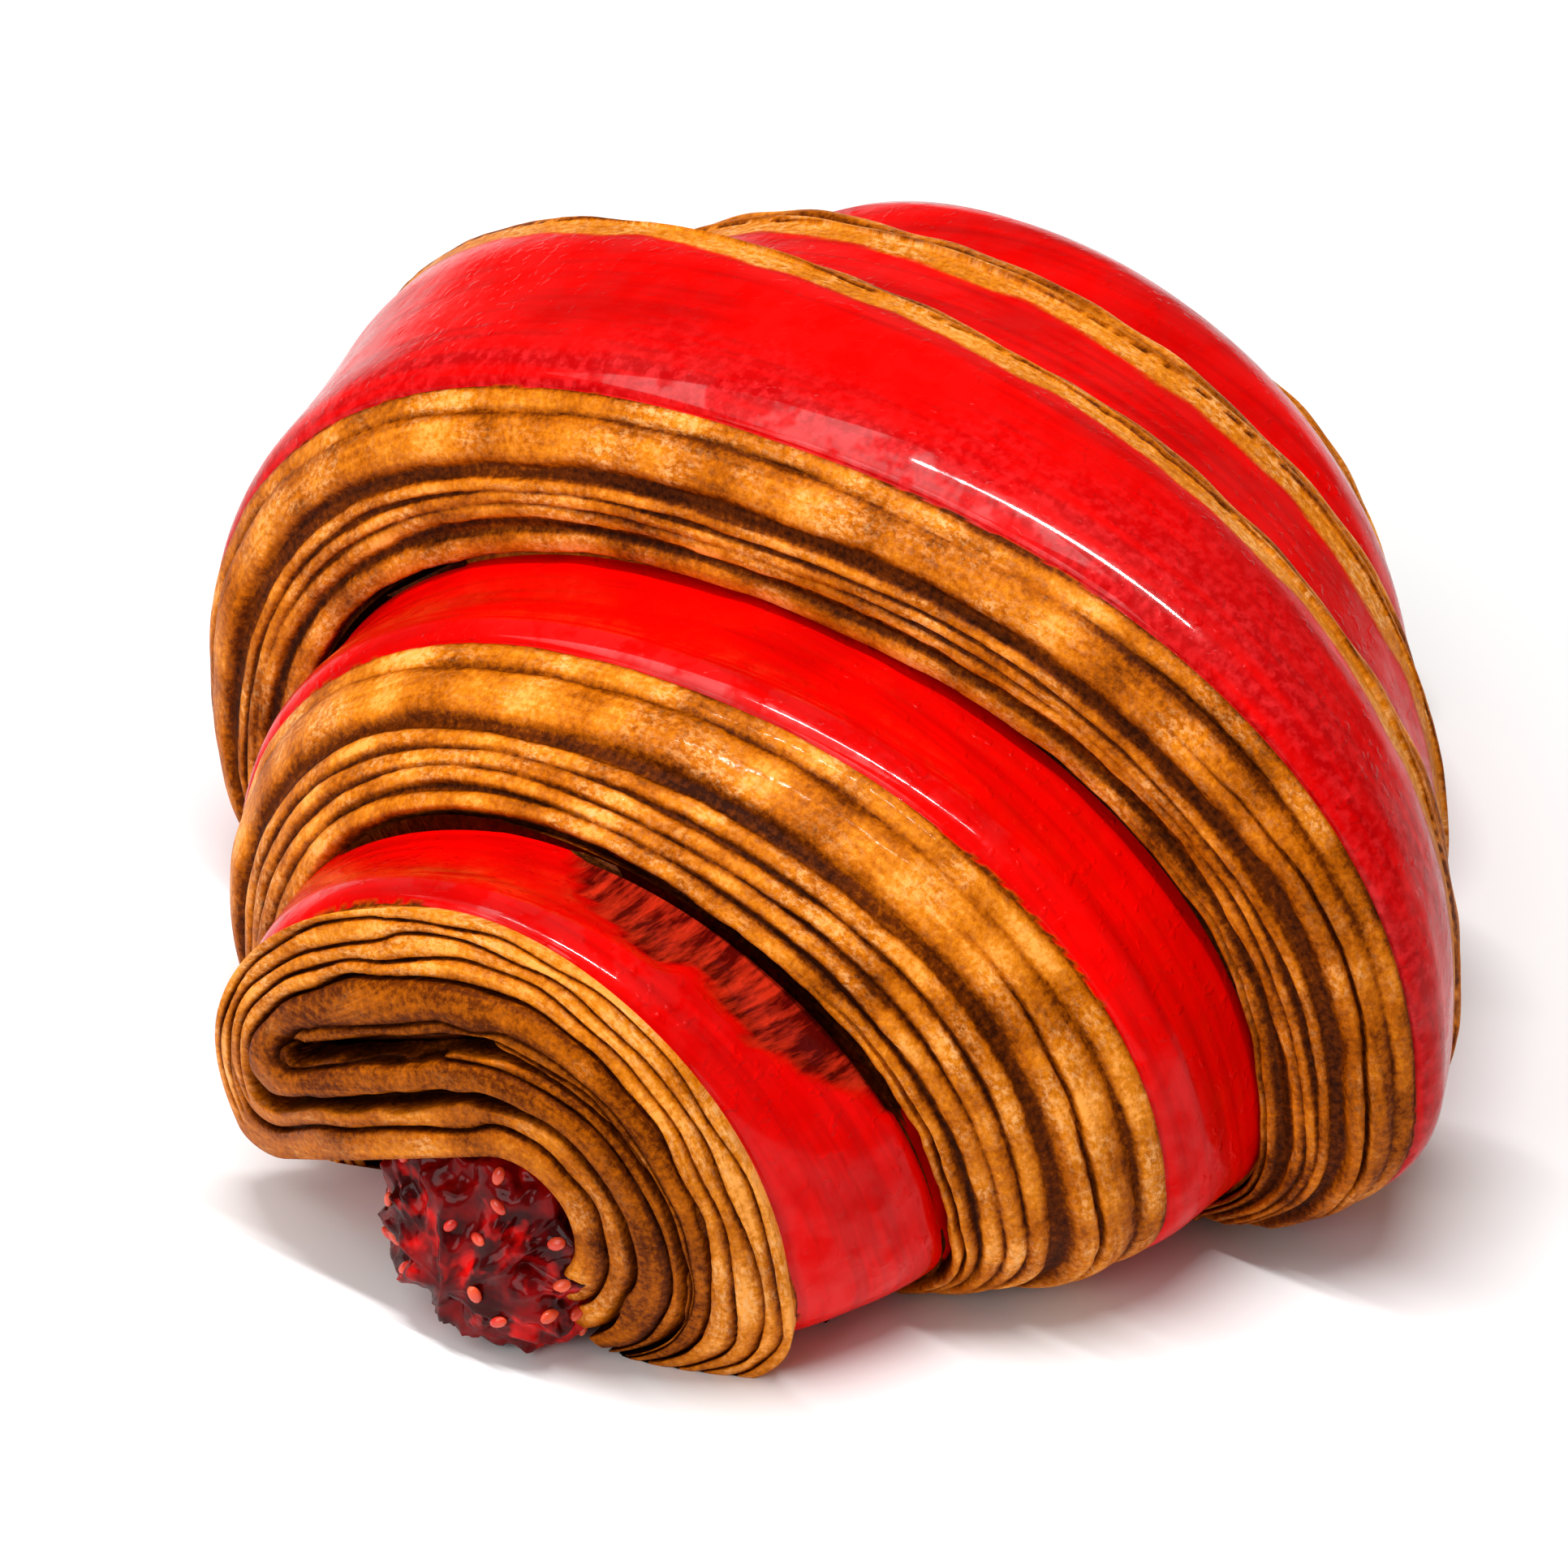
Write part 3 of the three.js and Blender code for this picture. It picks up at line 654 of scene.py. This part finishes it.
def baked_layers(tree, where, tone, streaks, crumbs, bubbles):
    """Colour of the cut layers: pale crests with painted highlights on their bubbles, orange brown between
    them, dark brown painted shade in the gaps.
    """
    patches = grain(tree, where, 110.0)
    lit = sum_of(tree, tone, ranged(tree, streaks, 0.3, 0.7, -0.12, 0.07))
    lit = sum_of(tree, lit, ranged(tree, crumbs, 0.3, 0.7, -0.21, 0.13))
    lit = sum_of(tree, lit, ranged(tree, patches, 0.3, 0.7, -0.10, 0.08))
    brown = shaded_by(tree, lit, LAYER_SHADES)
    # Painted highlights on the bubbles of the paler crests, in scattered patches
    painted_glints = product_of(tree, ranged(tree, bubbles, 0.47, 0.62), ranged(tree, tone, 0.45, 0.85))
    rare = ranged(tree, grain(tree, where, 260.0, 1.0), 0.45, 0.62, 0.1, 0.8)
    return mixed(tree, product_of(tree, painted_glints, rare), brown, PAINTED_GLINT_CREAM)


def red_skin(tree, where, follow):
    """Colour of the skin: clouded and combed red, crimson where it is rubbed, fibres where it is torn."""
    clouds = grain(tree, where, 90.0)
    combed = grain(tree, stretched(tree, follow, (60, 900, 1)), 1.0)
    red = mixed(tree, ranged(tree, clouds, 0.35, 0.7), BRIGHT_RED, DEEP_RED)
    red = mixed(tree, ranged(tree, combed, 0.42, 0.72, 0.0, 0.6), red, COMBED_RED)
    rubbed = product_of(tree, mask(tree, "rubbed"), ranged(tree, combed, 0.30, 0.60, 0.15, 1.0))
    specks = ranged(tree, grain(tree, where, 1500.0, 2.0, 0.6), 0.42, 0.66)
    red = mixed(tree, rubbed, red, mixed(tree, specks, CRIMSON, CRIMSON_SPECK))
    shreds = grain(tree, stretched(tree, follow, (1100, 160, 1)), 1.0, 4.0, 0.7)
    frayed = mixed(tree, ranged(tree, shreds, 0.42, 0.62), TORN_DARK, TORN_FIBRE)
    return mixed(tree, mask(tree, "torn"), red, frayed)


def glaze_weight(tree, where, tone, skin, bubbles):
    """How thick the clear glaze lies: uneven on the skin, pooled along its near edge, specks on layers."""
    wet = ranged(tree, grain(tree, where, 330.0, 3.0, 0.65), 0.40, 0.60, 0.03, 0.26)
    broken = ranged(tree, grain(tree, where, 270.0, 3.0, 0.65), 0.46, 0.54, 0.05, 0.9)
    wet = sum_of(tree, wet, product_of(tree, mask(tree, "pooled"), broken))
    sparkle = product_of(tree, ranged(tree, bubbles, 0.46, 0.60, 0.0, 0.22), ranged(tree, tone, 0.5, 0.9))
    return mixed_value(tree, skin, sparkle, wet)


def baked_dough():
    material, shader = new_material("baked dough")
    tree = material.node_tree
    where = add(tree, "TexCoord").outputs["Object"]
    follow = add(tree, "UVMap", uv_map="layers").outputs[0]
    tone = mask(tree, "tone")
    skin = mask(tree, "skin")
    streaks = grain(tree, stretched(tree, follow, (70, 1700, 1)), 1.0)
    crumbs = grain(tree, where, 2300.0, 3.0, 0.7)
    bubbles = grain(tree, stretched(tree, follow, (1700, 2600, 1)), 1.0, 4.0, 0.75)
    layers = baked_layers(tree, where, tone, streaks, crumbs, bubbles)
    feed(tree, shader, Base_Color=mixed(tree, skin, layers, red_skin(tree, where, follow)))
    rough = ranged(tree, bubbles, 0.3, 0.7, *LAYER_ROUGHNESS)
    feed(tree, shader, Roughness=mixed_value(tree, skin, rough, SKIN_ROUGHNESS))

    ripples = ranged(tree, grain(tree, where, 620.0, 2.0), 0.3, 0.7, 0.0, 0.5)
    pimples = ranged(tree, grain(tree, where, 1300.0, 1.0), 0.60, 0.74, 0.0, 0.7)
    height = mixed_value(tree, skin, sum_of(tree, bubbles, crumbs), sum_of(tree, ripples, pimples))
    bump = feed(tree, add(tree, "Bump"), Height=height, Distance=0.12 * MM, Strength=0.6)
    feed(tree, shader, Normal=bump.outputs[0])
    feed(tree, shader, Coat_Weight=glaze_weight(tree, where, tone, skin, bubbles))
    shader.inputs["Specular IOR Level"].default_value = 0.03
    shader.inputs["Coat Roughness"].default_value = 0.06
    return material


dough = baked_dough()
windings = [winding(f"winding_{i + 1}", SEAMS[i], SEAMS[i + 1]) for i in range(3)]
for piece in windings:
    piece.data.materials.append(dough)
    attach(piece, "root")
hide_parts("dough")


# ---- Folded ends ----
# The roll starts with the slab folded back on itself in a hairpin round the jam. Its end shows the same
# layers edge on: they run over the top, turn round the left and come back above the jam. The far end of
# the roll shows the same fold, smaller and the other way round.

FOLD_PLANE = -35.0                 # the fold is laid out on this plane, as it is seen
SIGHT = np.array([1, 0.696, -0.919])       # deeper points of the end lie along the line of sight
RELIEF_OUT = np.array([-0.93, 0.05, 0.36])     # ridges stand out this way
FOLD_CENTRE = np.array([-4.3, 10.0])
FOLD_ALONG = np.array([0.893, -0.450])     # direction of the straight runs, and across them
FOLD_ACROSS = np.array([0.450, 0.893])
FOLD_LOWEST = 9.3
ARC_START, ARC_END = math.atan2(FOLD_ACROSS[1], FOLD_ACROSS[0]), math.radians(236)
LOSS_TURN = (1.4, 3.0)             # angles over which the outer radius shrinks
# Radius over the top and how much of it is lost on the right, radius inside, how far the U-turn reaches,
# the radius at its tip, and the lengths of its upper and lower halves
HAIRPIN = {
    "gap": (11.6, 0.0, 11.6, 11.7, 11.6, 0.0, 0.0),
    "line": (16.1, 0.15, 8.2, 16.8, 9.6, 12.8, 1.6),
    "rim": (20.7, 0.06, 4.3, 19.9, 7.1, 18.2, 3.0),
}
LEGS = (0.36, 0.44, 0.56, 0.64)    # where arc, straight run, U-turn, run and arc meet, along the whole


def hairpin(way, outer, loss, inner, reach, tip, upper, lower):
    """Points (y, z) along one layer: over the arc, the straight run, the U-turn, and back."""
    inside = way > 0.5
    arc = np.where(inside, (way - LEGS[3]) / (1 - LEGS[3]), (LEGS[0] - way) / LEGS[0])
    angle = ARC_START + np.clip(arc, 0, 1) * (ARC_END - ARC_START)
    radius = np.where(inside, inner, outer * (1 - loss * smoothstep(angle, *LOSS_TURN)))
    rise = np.sin(angle) * np.where(np.sin(angle) > 0, radius, np.minimum(radius, FOLD_LOWEST))
    curved = FOLD_CENTRE + np.stack([radius * np.cos(angle), rise], -1)
    run = np.where(inside, (LEGS[3] - way) / (LEGS[3] - LEGS[2]), (way - LEGS[0]) / (LEGS[1] - LEGS[0]))
    turned = np.clip((way - LEGS[1]) / (LEGS[2] - LEGS[1]), 0, 1) * math.pi
    length = np.where(inside, lower, upper)
    along = np.clip(run, 0, 1) * (reach - length) + length * np.sin(turned)
    across = tip + np.where(inside, tip - inner, outer - tip) * np.cos(turned)
    across = np.where((way > LEGS[1]) & (way < LEGS[2]), across, np.where(inside, inner, outer))
    straight = FOLD_CENTRE + along[..., None] * FOLD_ALONG + across[..., None] * FOLD_ACROSS
    return np.where((arc > 0)[..., None], curved, straight)


# Furrows of the fold: place (0 the inner gap, 1 the line or second gap, 2 the rim), half width, depth,
# and half width at the left, on the outer side and then on the inner side.
OUTER_FURROWS = (
    (0.0, 0.16, 3.0, 0.75), (0.14, 0.10, 0.7, 0.12), (0.34, 0.08, 0.35, 0.08), (1.0, 0.15, 1.6, 0.10),
    (1.30, 0.11, 0.6, 0.10), (1.58, 0.10, 0.5, 0.09), (1.84, 0.09, 0.45, 0.08),
)
INNER_FURROWS = (
    (0.0, 0.16, 3.0, 0.75), (0.28, 0.10, 0.5, 0.1), (1.0, 0.20, 2.6, 0.45), (1.48, 0.12, 0.7, 0.12),
)
FOLD_END = 2.12                    # the outermost layer's crest is cut by the rim
BAND_SWELL, SWELL_MOST = 0.28, 0.75            # relief of a layer: share of its width, and the most
FOLD_STRAY, FOLD_TREMBLE, FOLD_TONE = (0, 0.06, 25), (0, 0.035, 8), (0.80, 0.17, 14)
FURROW_WIDTH, FURROW_DEPTH, FURROW_FADE = (1, 0.35, 10), (1, 0.3, 12), (0.85, 0.4, 21)
FURROW_FADE_RANGE = (0.45, 1)


def furrowed(place, thickness, furrows, left, along, seed):
    """Relief and tone between the furrows of one side of the fold, with painted shade darkening the furrows.
    """
    ends = [furrow[0] for furrow in furrows] + [FOLD_END]
    relief = np.zeros_like(place)
    tone = np.zeros_like(place)
    shifts = [(varied(FOLD_STRAY, along, seed + n) + varied(FOLD_TREMBLE, along, seed + 200 + n, 2))
              * (0 < furrow[0]) for n, furrow in enumerate(furrows)]
    shifts.append(0 * along)
    for n in range(len(furrows)):
        low, high = ends[n] + shifts[n], ends[n + 1] + shifts[n + 1]
        across = np.abs((place - (low + high) / 2) / ((high - low) / 2))
        swell = np.sqrt(np.clip(1 - across ** ROUNDNESS, 0, 1))
        wide = (ends[n + 1] - ends[n]) * thickness
        relief = np.maximum(relief, swell * np.minimum(BAND_SWELL * wide, SWELL_MOST))
        tone = np.maximum(tone, swell * varied(FOLD_TONE, along, seed + 30 + n))
    for n, (at, half_width, depth, left_half_width) in enumerate(furrows):
        half = half_width + (left_half_width - half_width) * left
        half = half * varied(FURROW_WIDTH, along, seed + 90 + n)
        dip = np.exp(-np.abs((place - at - shifts[n]) * thickness / half) ** 3)
        relief = relief - depth * varied(FURROW_DEPTH, along, seed + 60 + n) * dip
        faded = np.clip(varied(FURROW_FADE, along, seed + 120 + n), *FURROW_FADE_RANGE)
        # Painted shade darkens each furrow.
        tone = tone * (1 - dip * faded)
    return relief, tone


# The near end is a dome, flattest in front, that slopes back at the left foot.
DOME_MIDDLE, DOME_RADII = (-1, 16), (20, 15.5)
DOME_FRONT, DOME_DEPTH, DOME_TILT, DOME_TILT_AT = -1.8, 3.4, 0.11, -2
FOOT_LINE, FOOT_REACH, FOOT_DEPTH = (0.5, -0.87, 5), (0, 9), 4.0


def end_depth(y, z):
    """How far behind the fold's plane the near end's surface lies."""
    rho = np.hypot((y - DOME_MIDDLE[0]) / DOME_RADII[0], (z - DOME_MIDDLE[1]) / DOME_RADII[1])
    foot = smoothstep(FOOT_LINE[0] * y + FOOT_LINE[1] * z + FOOT_LINE[2], *FOOT_REACH)
    return DOME_FRONT + DOME_DEPTH * rho ** 2 - DOME_TILT * (y - DOME_TILT_AT) * rho + FOOT_DEPTH * foot


def near_end(flat, relief):
    """Puts the fold on the near end."""
    depth = end_depth(flat[..., 0], flat[..., 1])[..., None]
    plane = np.concatenate([np.full(depth.shape, FOLD_PLANE), flat], -1)
    return plane + depth * SIGHT + relief[..., None] * RELIEF_OUT


FAR_JAM = 10.9                     # place across of the jam at the far end
FAR_SCALES = (0.62, 1.09, 0.69)    # sizes against the near end: left of the jam, right of it, and upwards
FAR_PLANE, FAR_SLANT, FAR_DOME, FAR_RELIEF = 49.6, 0.18, 3.6, 0.8
FAR_MIDDLE, FAR_RADII = (3.9, 10.5), (16.5, 12)


def far_end(flat, relief):
    """Puts a smaller fold, the other way round, on the far end."""
    aside = flat[..., 0] - FOLD_CENTRE[0]
    y = FAR_JAM - np.where(aside < 0, FAR_SCALES[0], FAR_SCALES[1]) * aside
    z = flat[..., 1] * FAR_SCALES[2]
    rho = np.hypot((y - FAR_MIDDLE[0]) / FAR_RADII[0], (z - FAR_MIDDLE[1]) / FAR_RADII[1])
    x = FAR_PLANE + FAR_SLANT * (y - FAR_MIDDLE[0]) + FAR_DOME * (1 - rho ** 2) + FAR_RELIEF * relief
    return np.stack([x, y, z], -1)


LEFT_OF_FOLD = (0.22, 0.12)        # distance from the middle of the way, at which the furrows' left begins
INNER_SIDE_FROM = (0.48, 0.52)     # share of the way over which the outer side becomes the inner one
# Tone: in the dark middle, what the outer layers add, and where; then what the rim adds, and where
FOLD_SHADE, OUTER_ADDS, OUTER_FROM, INNER_LOSS = 0.58, 0.48, (0.9, 1.2), 0.5
RIM_ADDS, RIM_FROM = 0.07, (1.6, 1.75)
APRON = ((1.2, 0.6), (5, 3.5))     # two rows behind the rim: how far back and how far inwards
CUFF = 4                           # the fold's two ends run this far into the roll
OUTER_DRAW, INNER_DRAW = 500, 600


def folded_end(name, lay, rows, columns):
    way = np.linspace(0, 1, rows)
    gap, line, rim = (hairpin(way, *HAIRPIN[layer]) for layer in ("gap", "line", "rim"))
    place = np.linspace(0, 2, columns)[None, :] + 0 * way[:, None]
    inner_part = np.clip(place, 0, 1)[..., None]
    outer_part = np.clip(place - 1, 0, 1)[..., None]
    flat = gap[:, None] * (1 - inner_part) + line[:, None] * (inner_part - outer_part)
    flat = flat + rim[:, None] * outer_part
    ways = way[:, None] + 0 * place
    thickness = np.where(place < 1, np.linalg.norm(line - gap, axis=-1)[:, None],
                         np.linalg.norm(rim - line, axis=-1)[:, None])
    steps = np.linalg.norm(np.diff(line, axis=0), axis=-1)
    along = np.concatenate([[0], np.cumsum(steps)])[:, None] + 0 * place
    left = smoothstep(np.abs(ways - 0.5), *LEFT_OF_FOLD)
    outer = furrowed(place, thickness, OUTER_FURROWS, left, along, OUTER_DRAW)
    inner = furrowed(place, thickness, INNER_FURROWS, left, along, INNER_DRAW)
    blend = smoothstep(ways, *INNER_SIDE_FROM)
    relief = outer[0] + (inner[0] - outer[0]) * blend
    tone = outer[1] + (inner[1] - outer[1]) * blend
    tone = tone * (FOLD_SHADE + OUTER_ADDS * smoothstep(place, *OUTER_FROM) * (1 - INNER_LOSS * blend))
    tone = tone * (1 + RIM_ADDS * smoothstep(place, *RIM_FROM) * (1 - blend))

    points = lay(flat, relief)
    back = 1 if points[0, 0, 0] < 0 else -1
    inwards = lay(FOLD_CENTRE, np.zeros(())) - points[:, -1:]
    inwards[..., 0] = 0
    inwards /= np.linalg.norm(inwards, axis=-1, keepdims=True)
    apron = [points[:, -1:] + (behind * back, 0, 0) + inwards * aside for behind, aside in APRON]
    points = np.concatenate([points] + apron, 1)
    points = np.concatenate([points[:1] + (CUFF * back, 0, 0), points, points[-1:] + (CUFF * back, 0, 0)], 0)
    points[..., 0] -= MIDDLE[0]
    points[..., 1] -= MIDDLE[1]
    points[..., 2] = np.maximum(points[..., 2], LEAST_HEIGHT)
    bordered = [np.pad(values, ((1, 1), (0, 2)), mode="edge") for values in (place * thickness, along, tone)]
    return dough_piece(name, points, bordered[0], bordered[1], {"tone": bordered[2]})


ends = [folded_end("near_end", near_end, rows=560, columns=84),
        folded_end("far_end", far_end, rows=420, columns=64)]
for end in ends:
    end.data.materials.append(dough)
    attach(end, "root")


# ---- Core of the roll ----
# The dough that lies under the windings and the folds, from end to end. It shows only as brown depth
# in the gaps.

CORE_ENDS = ((-31.5, 18, 28.5), (49, 15.5, 19.5))      # place, half width and height at either end
CORE_SWELL = (6, 5)
CORE_AXIS = 0.45                   # height of its middle line, as a share of its height
CORE_BLUNT = 0.35                  # below 1, its ends are blunter than a ball's
CORE_TONE = 0.45
CORE_CLEAR = 0.3                   # and it stays this far above the underside
CORE_WRAP = 100                    # millimetres of grain in one turn


def core_piece():
    bm = bmesh.new()
    bmesh.ops.create_uvsphere(bm, u_segments=72, v_segments=48, radius=1)
    mesh = bpy.data.meshes.new("rolled_core")
    bm.to_mesh(mesh)
    bm.free()
    flat = np.zeros(len(mesh.vertices) * 3)
    mesh.vertices.foreach_get("co", flat)
    ball = flat.reshape(-1, 3)
    k = (ball[:, 2] + 1) / 2
    turn = np.arctan2(ball[:, 1], -ball[:, 0]) / (2 * math.pi)
    share = np.hypot(ball[:, 0], ball[:, 1]) ** CORE_BLUNT
    near, far = np.array(CORE_ENDS)
    sizes = near + (far - near) * k[:, None]
    sizes[:, 1] += CORE_SWELL[0] * np.sin(math.pi * k)
    sizes[:, 2] += CORE_SWELL[1] * np.sin(math.pi * k)
    rim = outline(sizes, turn)
    middle = np.stack([rim[:, 0], drift(sizes[:, 0]) - MIDDLE[1], sizes[:, 2] * CORE_AXIS], -1)
    points = middle + (rim - middle) * share[:, None]
    foot = underside(sizes[:, 0], points[:, 1] + MIDDLE[1]) + CORE_CLEAR
    points[:, 2] = np.maximum(points[:, 2], foot)
    mesh.vertices.foreach_set("co", (points * MM).ravel())
    dough_values(mesh, {"tone": np.full(len(points), CORE_TONE)})
    wrap_uv(mesh, points[:, 0] * MM, turn * CORE_WRAP * MM)
    close_up(mesh)
    return link_object("rolled_core", mesh)


core = core_piece()
core.data.materials.append(dough)
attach(core, "root")


# ---- Jam ----
# A rod of strawberry jam runs through the roll and spills out at the folded end as a wet, lumpy mass.
# Dark wine red, bright red where it is thin, and very glossy.

# Centre and half sizes along its length: place, y, z, half width, half height.
JAM_PLACES = np.array([
    (-37.8, -0.6, 4.6, 0.4, 0.4), (-37.3, -0.9, 4.8, 2.8, 2.4), (-36.5, -1.3, 5.6, 5.2, 4.4),
    (-35.2, -1.6, 6.7, 6.9, 6.2), (-33.5, -1.4, 7.2, 7.5, 6.8), (-27, -1.2, 9.6, 6.6, 5.4),
    (-15, 0, 12, 6, 5), (20, 3, 13, 6, 5), (45, 8.5, 8.9, 5, 4.4), (53.4, 10.8, 7.2, 4.1, 4.9),
    (54.4, 11.0, 7.2, 1.5, 1.8),
])
JAM_HIDDEN = (-29, 50)             # between these places the dough hides it
JAM_STEPS = (0.16, 4.0, 0.2)       # steps along it: near end, hidden, far end
JAM_SIDES = 220
JAM_SQUARE = 0.75                  # below 1, its section is squarer than an ellipse
JAM_LUMPS = ((3.2, 1.4), (1.5, 0.7), (0.7, 0.2))       # width and height of its lumps, coarse to fine
LUMP_MEAN, LUMP_CREASE = 0.35, 1.6             # lumps are round, with creases between them
JAM_NEAR, JAM_FAR, FAR_LUMPS = (29, 32), (50, 52), 0.5
JAM_BACKED, JAM_SET_BACK = (30, 40), 3         # at its tip the lumps grow from further inside
JAM_LOWEST = 0.4
THIN_RIGHT, THIN_LOW = (2, 7), (-7, -3)        # it lies thin at the lower right
JAM_DARK, JAM_RED, JAM_BRIGHT = (0.040, 0.0005, 0.0009), (0.24, 0.0010, 0.0018), (0.66, 0.006, 0.005)


def jam_rod():
    near = np.arange(JAM_PLACES[0, 0], JAM_HIDDEN[0], JAM_STEPS[0])
    inside = np.arange(*JAM_HIDDEN, JAM_STEPS[1])
    far = np.arange(JAM_HIDDEN[1], JAM_PLACES[-1, 0], JAM_STEPS[2])
    places = np.concatenate([near, inside, far, JAM_PLACES[-1:, 0]])
    angle = np.linspace(0, 2 * math.pi, JAM_SIDES + 1)[None, :]
    y, z, half_y, half_z = (np.interp(places, JAM_PLACES[:, 0], JAM_PLACES[:, i])[:, None]
                            for i in range(1, 5))
    half_y[0] = half_z[0] = half_y[-1] = half_z[-1] = 0
    x = places[:, None] + 0 * angle
    across, rise = (np.sign(v) * np.abs(v) ** JAM_SQUARE for v in (np.cos(angle), np.sin(angle)))
    points = np.stack([x - MIDDLE[0], y + half_y * across - MIDDLE[1], z + half_z * rise], -1)
    set_back = JAM_SET_BACK * smoothstep(-x, *JAM_BACKED)
    middle = np.stack([x - MIDDLE[0] + set_back, y + 0 * x - MIDDLE[1], z + 0 * x], -1)
    away = points - middle
    away /= np.maximum(np.linalg.norm(away, axis=-1, keepdims=True), 1e-6)
    shown = smoothstep(-x, *JAM_NEAR) + FAR_LUMPS * smoothstep(x, *JAM_FAR)
    lumps = np.zeros_like(x)
    for width, height in JAM_LUMPS:
        cell = np.array([[noise.noise(Vector(point) / width) for point in ring] for ring in points])
        lumps += height * (LUMP_MEAN - np.abs(cell) * LUMP_CREASE)
    points = points + away * (lumps * shown)[..., None]
    points[..., 2] = np.maximum(points[..., 2], JAM_LOWEST)
    mesh, row, column = sheet_of_points(*x.shape)
    mesh.name = "jam_rod"
    mesh.vertices.foreach_set("co", (points[row, column] * MM).ravel())
    thin = smoothstep(-points[..., 1], *THIN_RIGHT) * smoothstep(-points[..., 2], *THIN_LOW)
    vertex_values(mesh, "thin", thin[row, column])
    close_up(mesh)
    return link_object("jam_rod", mesh)


def wet_jam():
    material, shader = new_material("strawberry jam")
    tree = material.node_tree
    where = add(tree, "TexCoord").outputs["Object"]
    pulp = grain(tree, where, 420.0)
    clots = grain(tree, where, 330.0, 3.0)
    red = mixed(tree, ranged(tree, pulp, 0.4, 0.65), JAM_DARK, JAM_RED)
    bright = sum_of(tree, clots, ranged(tree, mask(tree, "thin"), 0.0, 1.0, -0.02, 0.13))
    red = mixed(tree, ranged(tree, bright, 0.54, 0.66), red, JAM_BRIGHT)
    feed(tree, shader, Base_Color=red, Roughness=0.2)
    shader.inputs["Specular IOR Level"].default_value = 0.05
    shader.inputs["Coat Weight"].default_value = 0.15
    shader.inputs["Coat Roughness"].default_value = 0.04
    bump = feed(tree, add(tree, "Bump"), Height=pulp, Distance=0.2 * MM, Strength=0.5)
    feed(tree, shader, Normal=bump.outputs[0])
    return material


jam = jam_rod()
jam.data.materials.append(wet_jam())
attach(jam, "root")
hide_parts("jam")


# ---- Seeds in the jam ----
# Small pink and orange strawberry seeds, glossy with jam, stuck in its surface to about half their
# thickness.

SEED_SIZE = (0.62, 0.40, 0.28)     # half length, half width and half thickness
SEED_COUNT = 30
SEED_GAP = 1.8                     # least distance between two
SEED_SIZES = (0.85, 1.15)          # least and most size, against the size above
SEED_PROUD = 0.08                  # height of a seed's middle over the jam
SEEDS_IN_FRONT_OF, SEEDS_ABOVE = -32.5, 1.2    # they lie where the jam shows
SEED_DRAW = 7
SEED_PINK, SEED_ORANGE = (0.62, 0.020, 0.010), (0.80, 0.090, 0.025)


def seeds():
    draw = np.random.default_rng(SEED_DRAW)
    front = (SEEDS_IN_FRONT_OF - MIDDLE[0]) * MM
    shown = [v for v in jam.data.vertices if v.co.x < front and v.co.z > SEEDS_ABOVE * MM]
    places = []
    bm = bmesh.new()
    while len(places) < SEED_COUNT:
        at = shown[int(draw.integers(len(shown)))]
        turned = Matrix.Rotation(draw.uniform(0, math.pi), 4, at.normal)
        if any((at.co - other).length < SEED_GAP * MM for other in places):
            continue
        places.append(at.co.copy())
        lay = at.normal.to_track_quat("Z", "Y").to_matrix().to_4x4()
        size = draw.uniform(*SEED_SIZES) * MM
        scale = Matrix.Diagonal((SEED_SIZE[0] * size, SEED_SIZE[1] * size, SEED_SIZE[2] * size, 1))
        place = Matrix.Translation(at.co + at.normal * SEED_PROUD * MM)
        bmesh.ops.create_uvsphere(bm, u_segments=12, v_segments=8, radius=1,
                                  matrix=place @ turned @ lay @ scale)
    for face in bm.faces:
        face.smooth = True
    mesh = bpy.data.meshes.new("strawberry_seeds")
    bm.to_mesh(mesh)
    bm.free()
    material, shader = new_material("seed skin")
    tree = material.node_tree
    tint = grain(tree, add(tree, "TexCoord").outputs["Object"], 300.0)
    shades = mixed(tree, ranged(tree, tint, 0.4, 0.6), SEED_PINK, SEED_ORANGE)
    feed(tree, shader, Base_Color=shades, Roughness=0.25)
    mesh.materials.append(material)
    return link_object("strawberry_seeds", mesh)


jam_seeds = seeds()
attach(jam_seeds, "root")
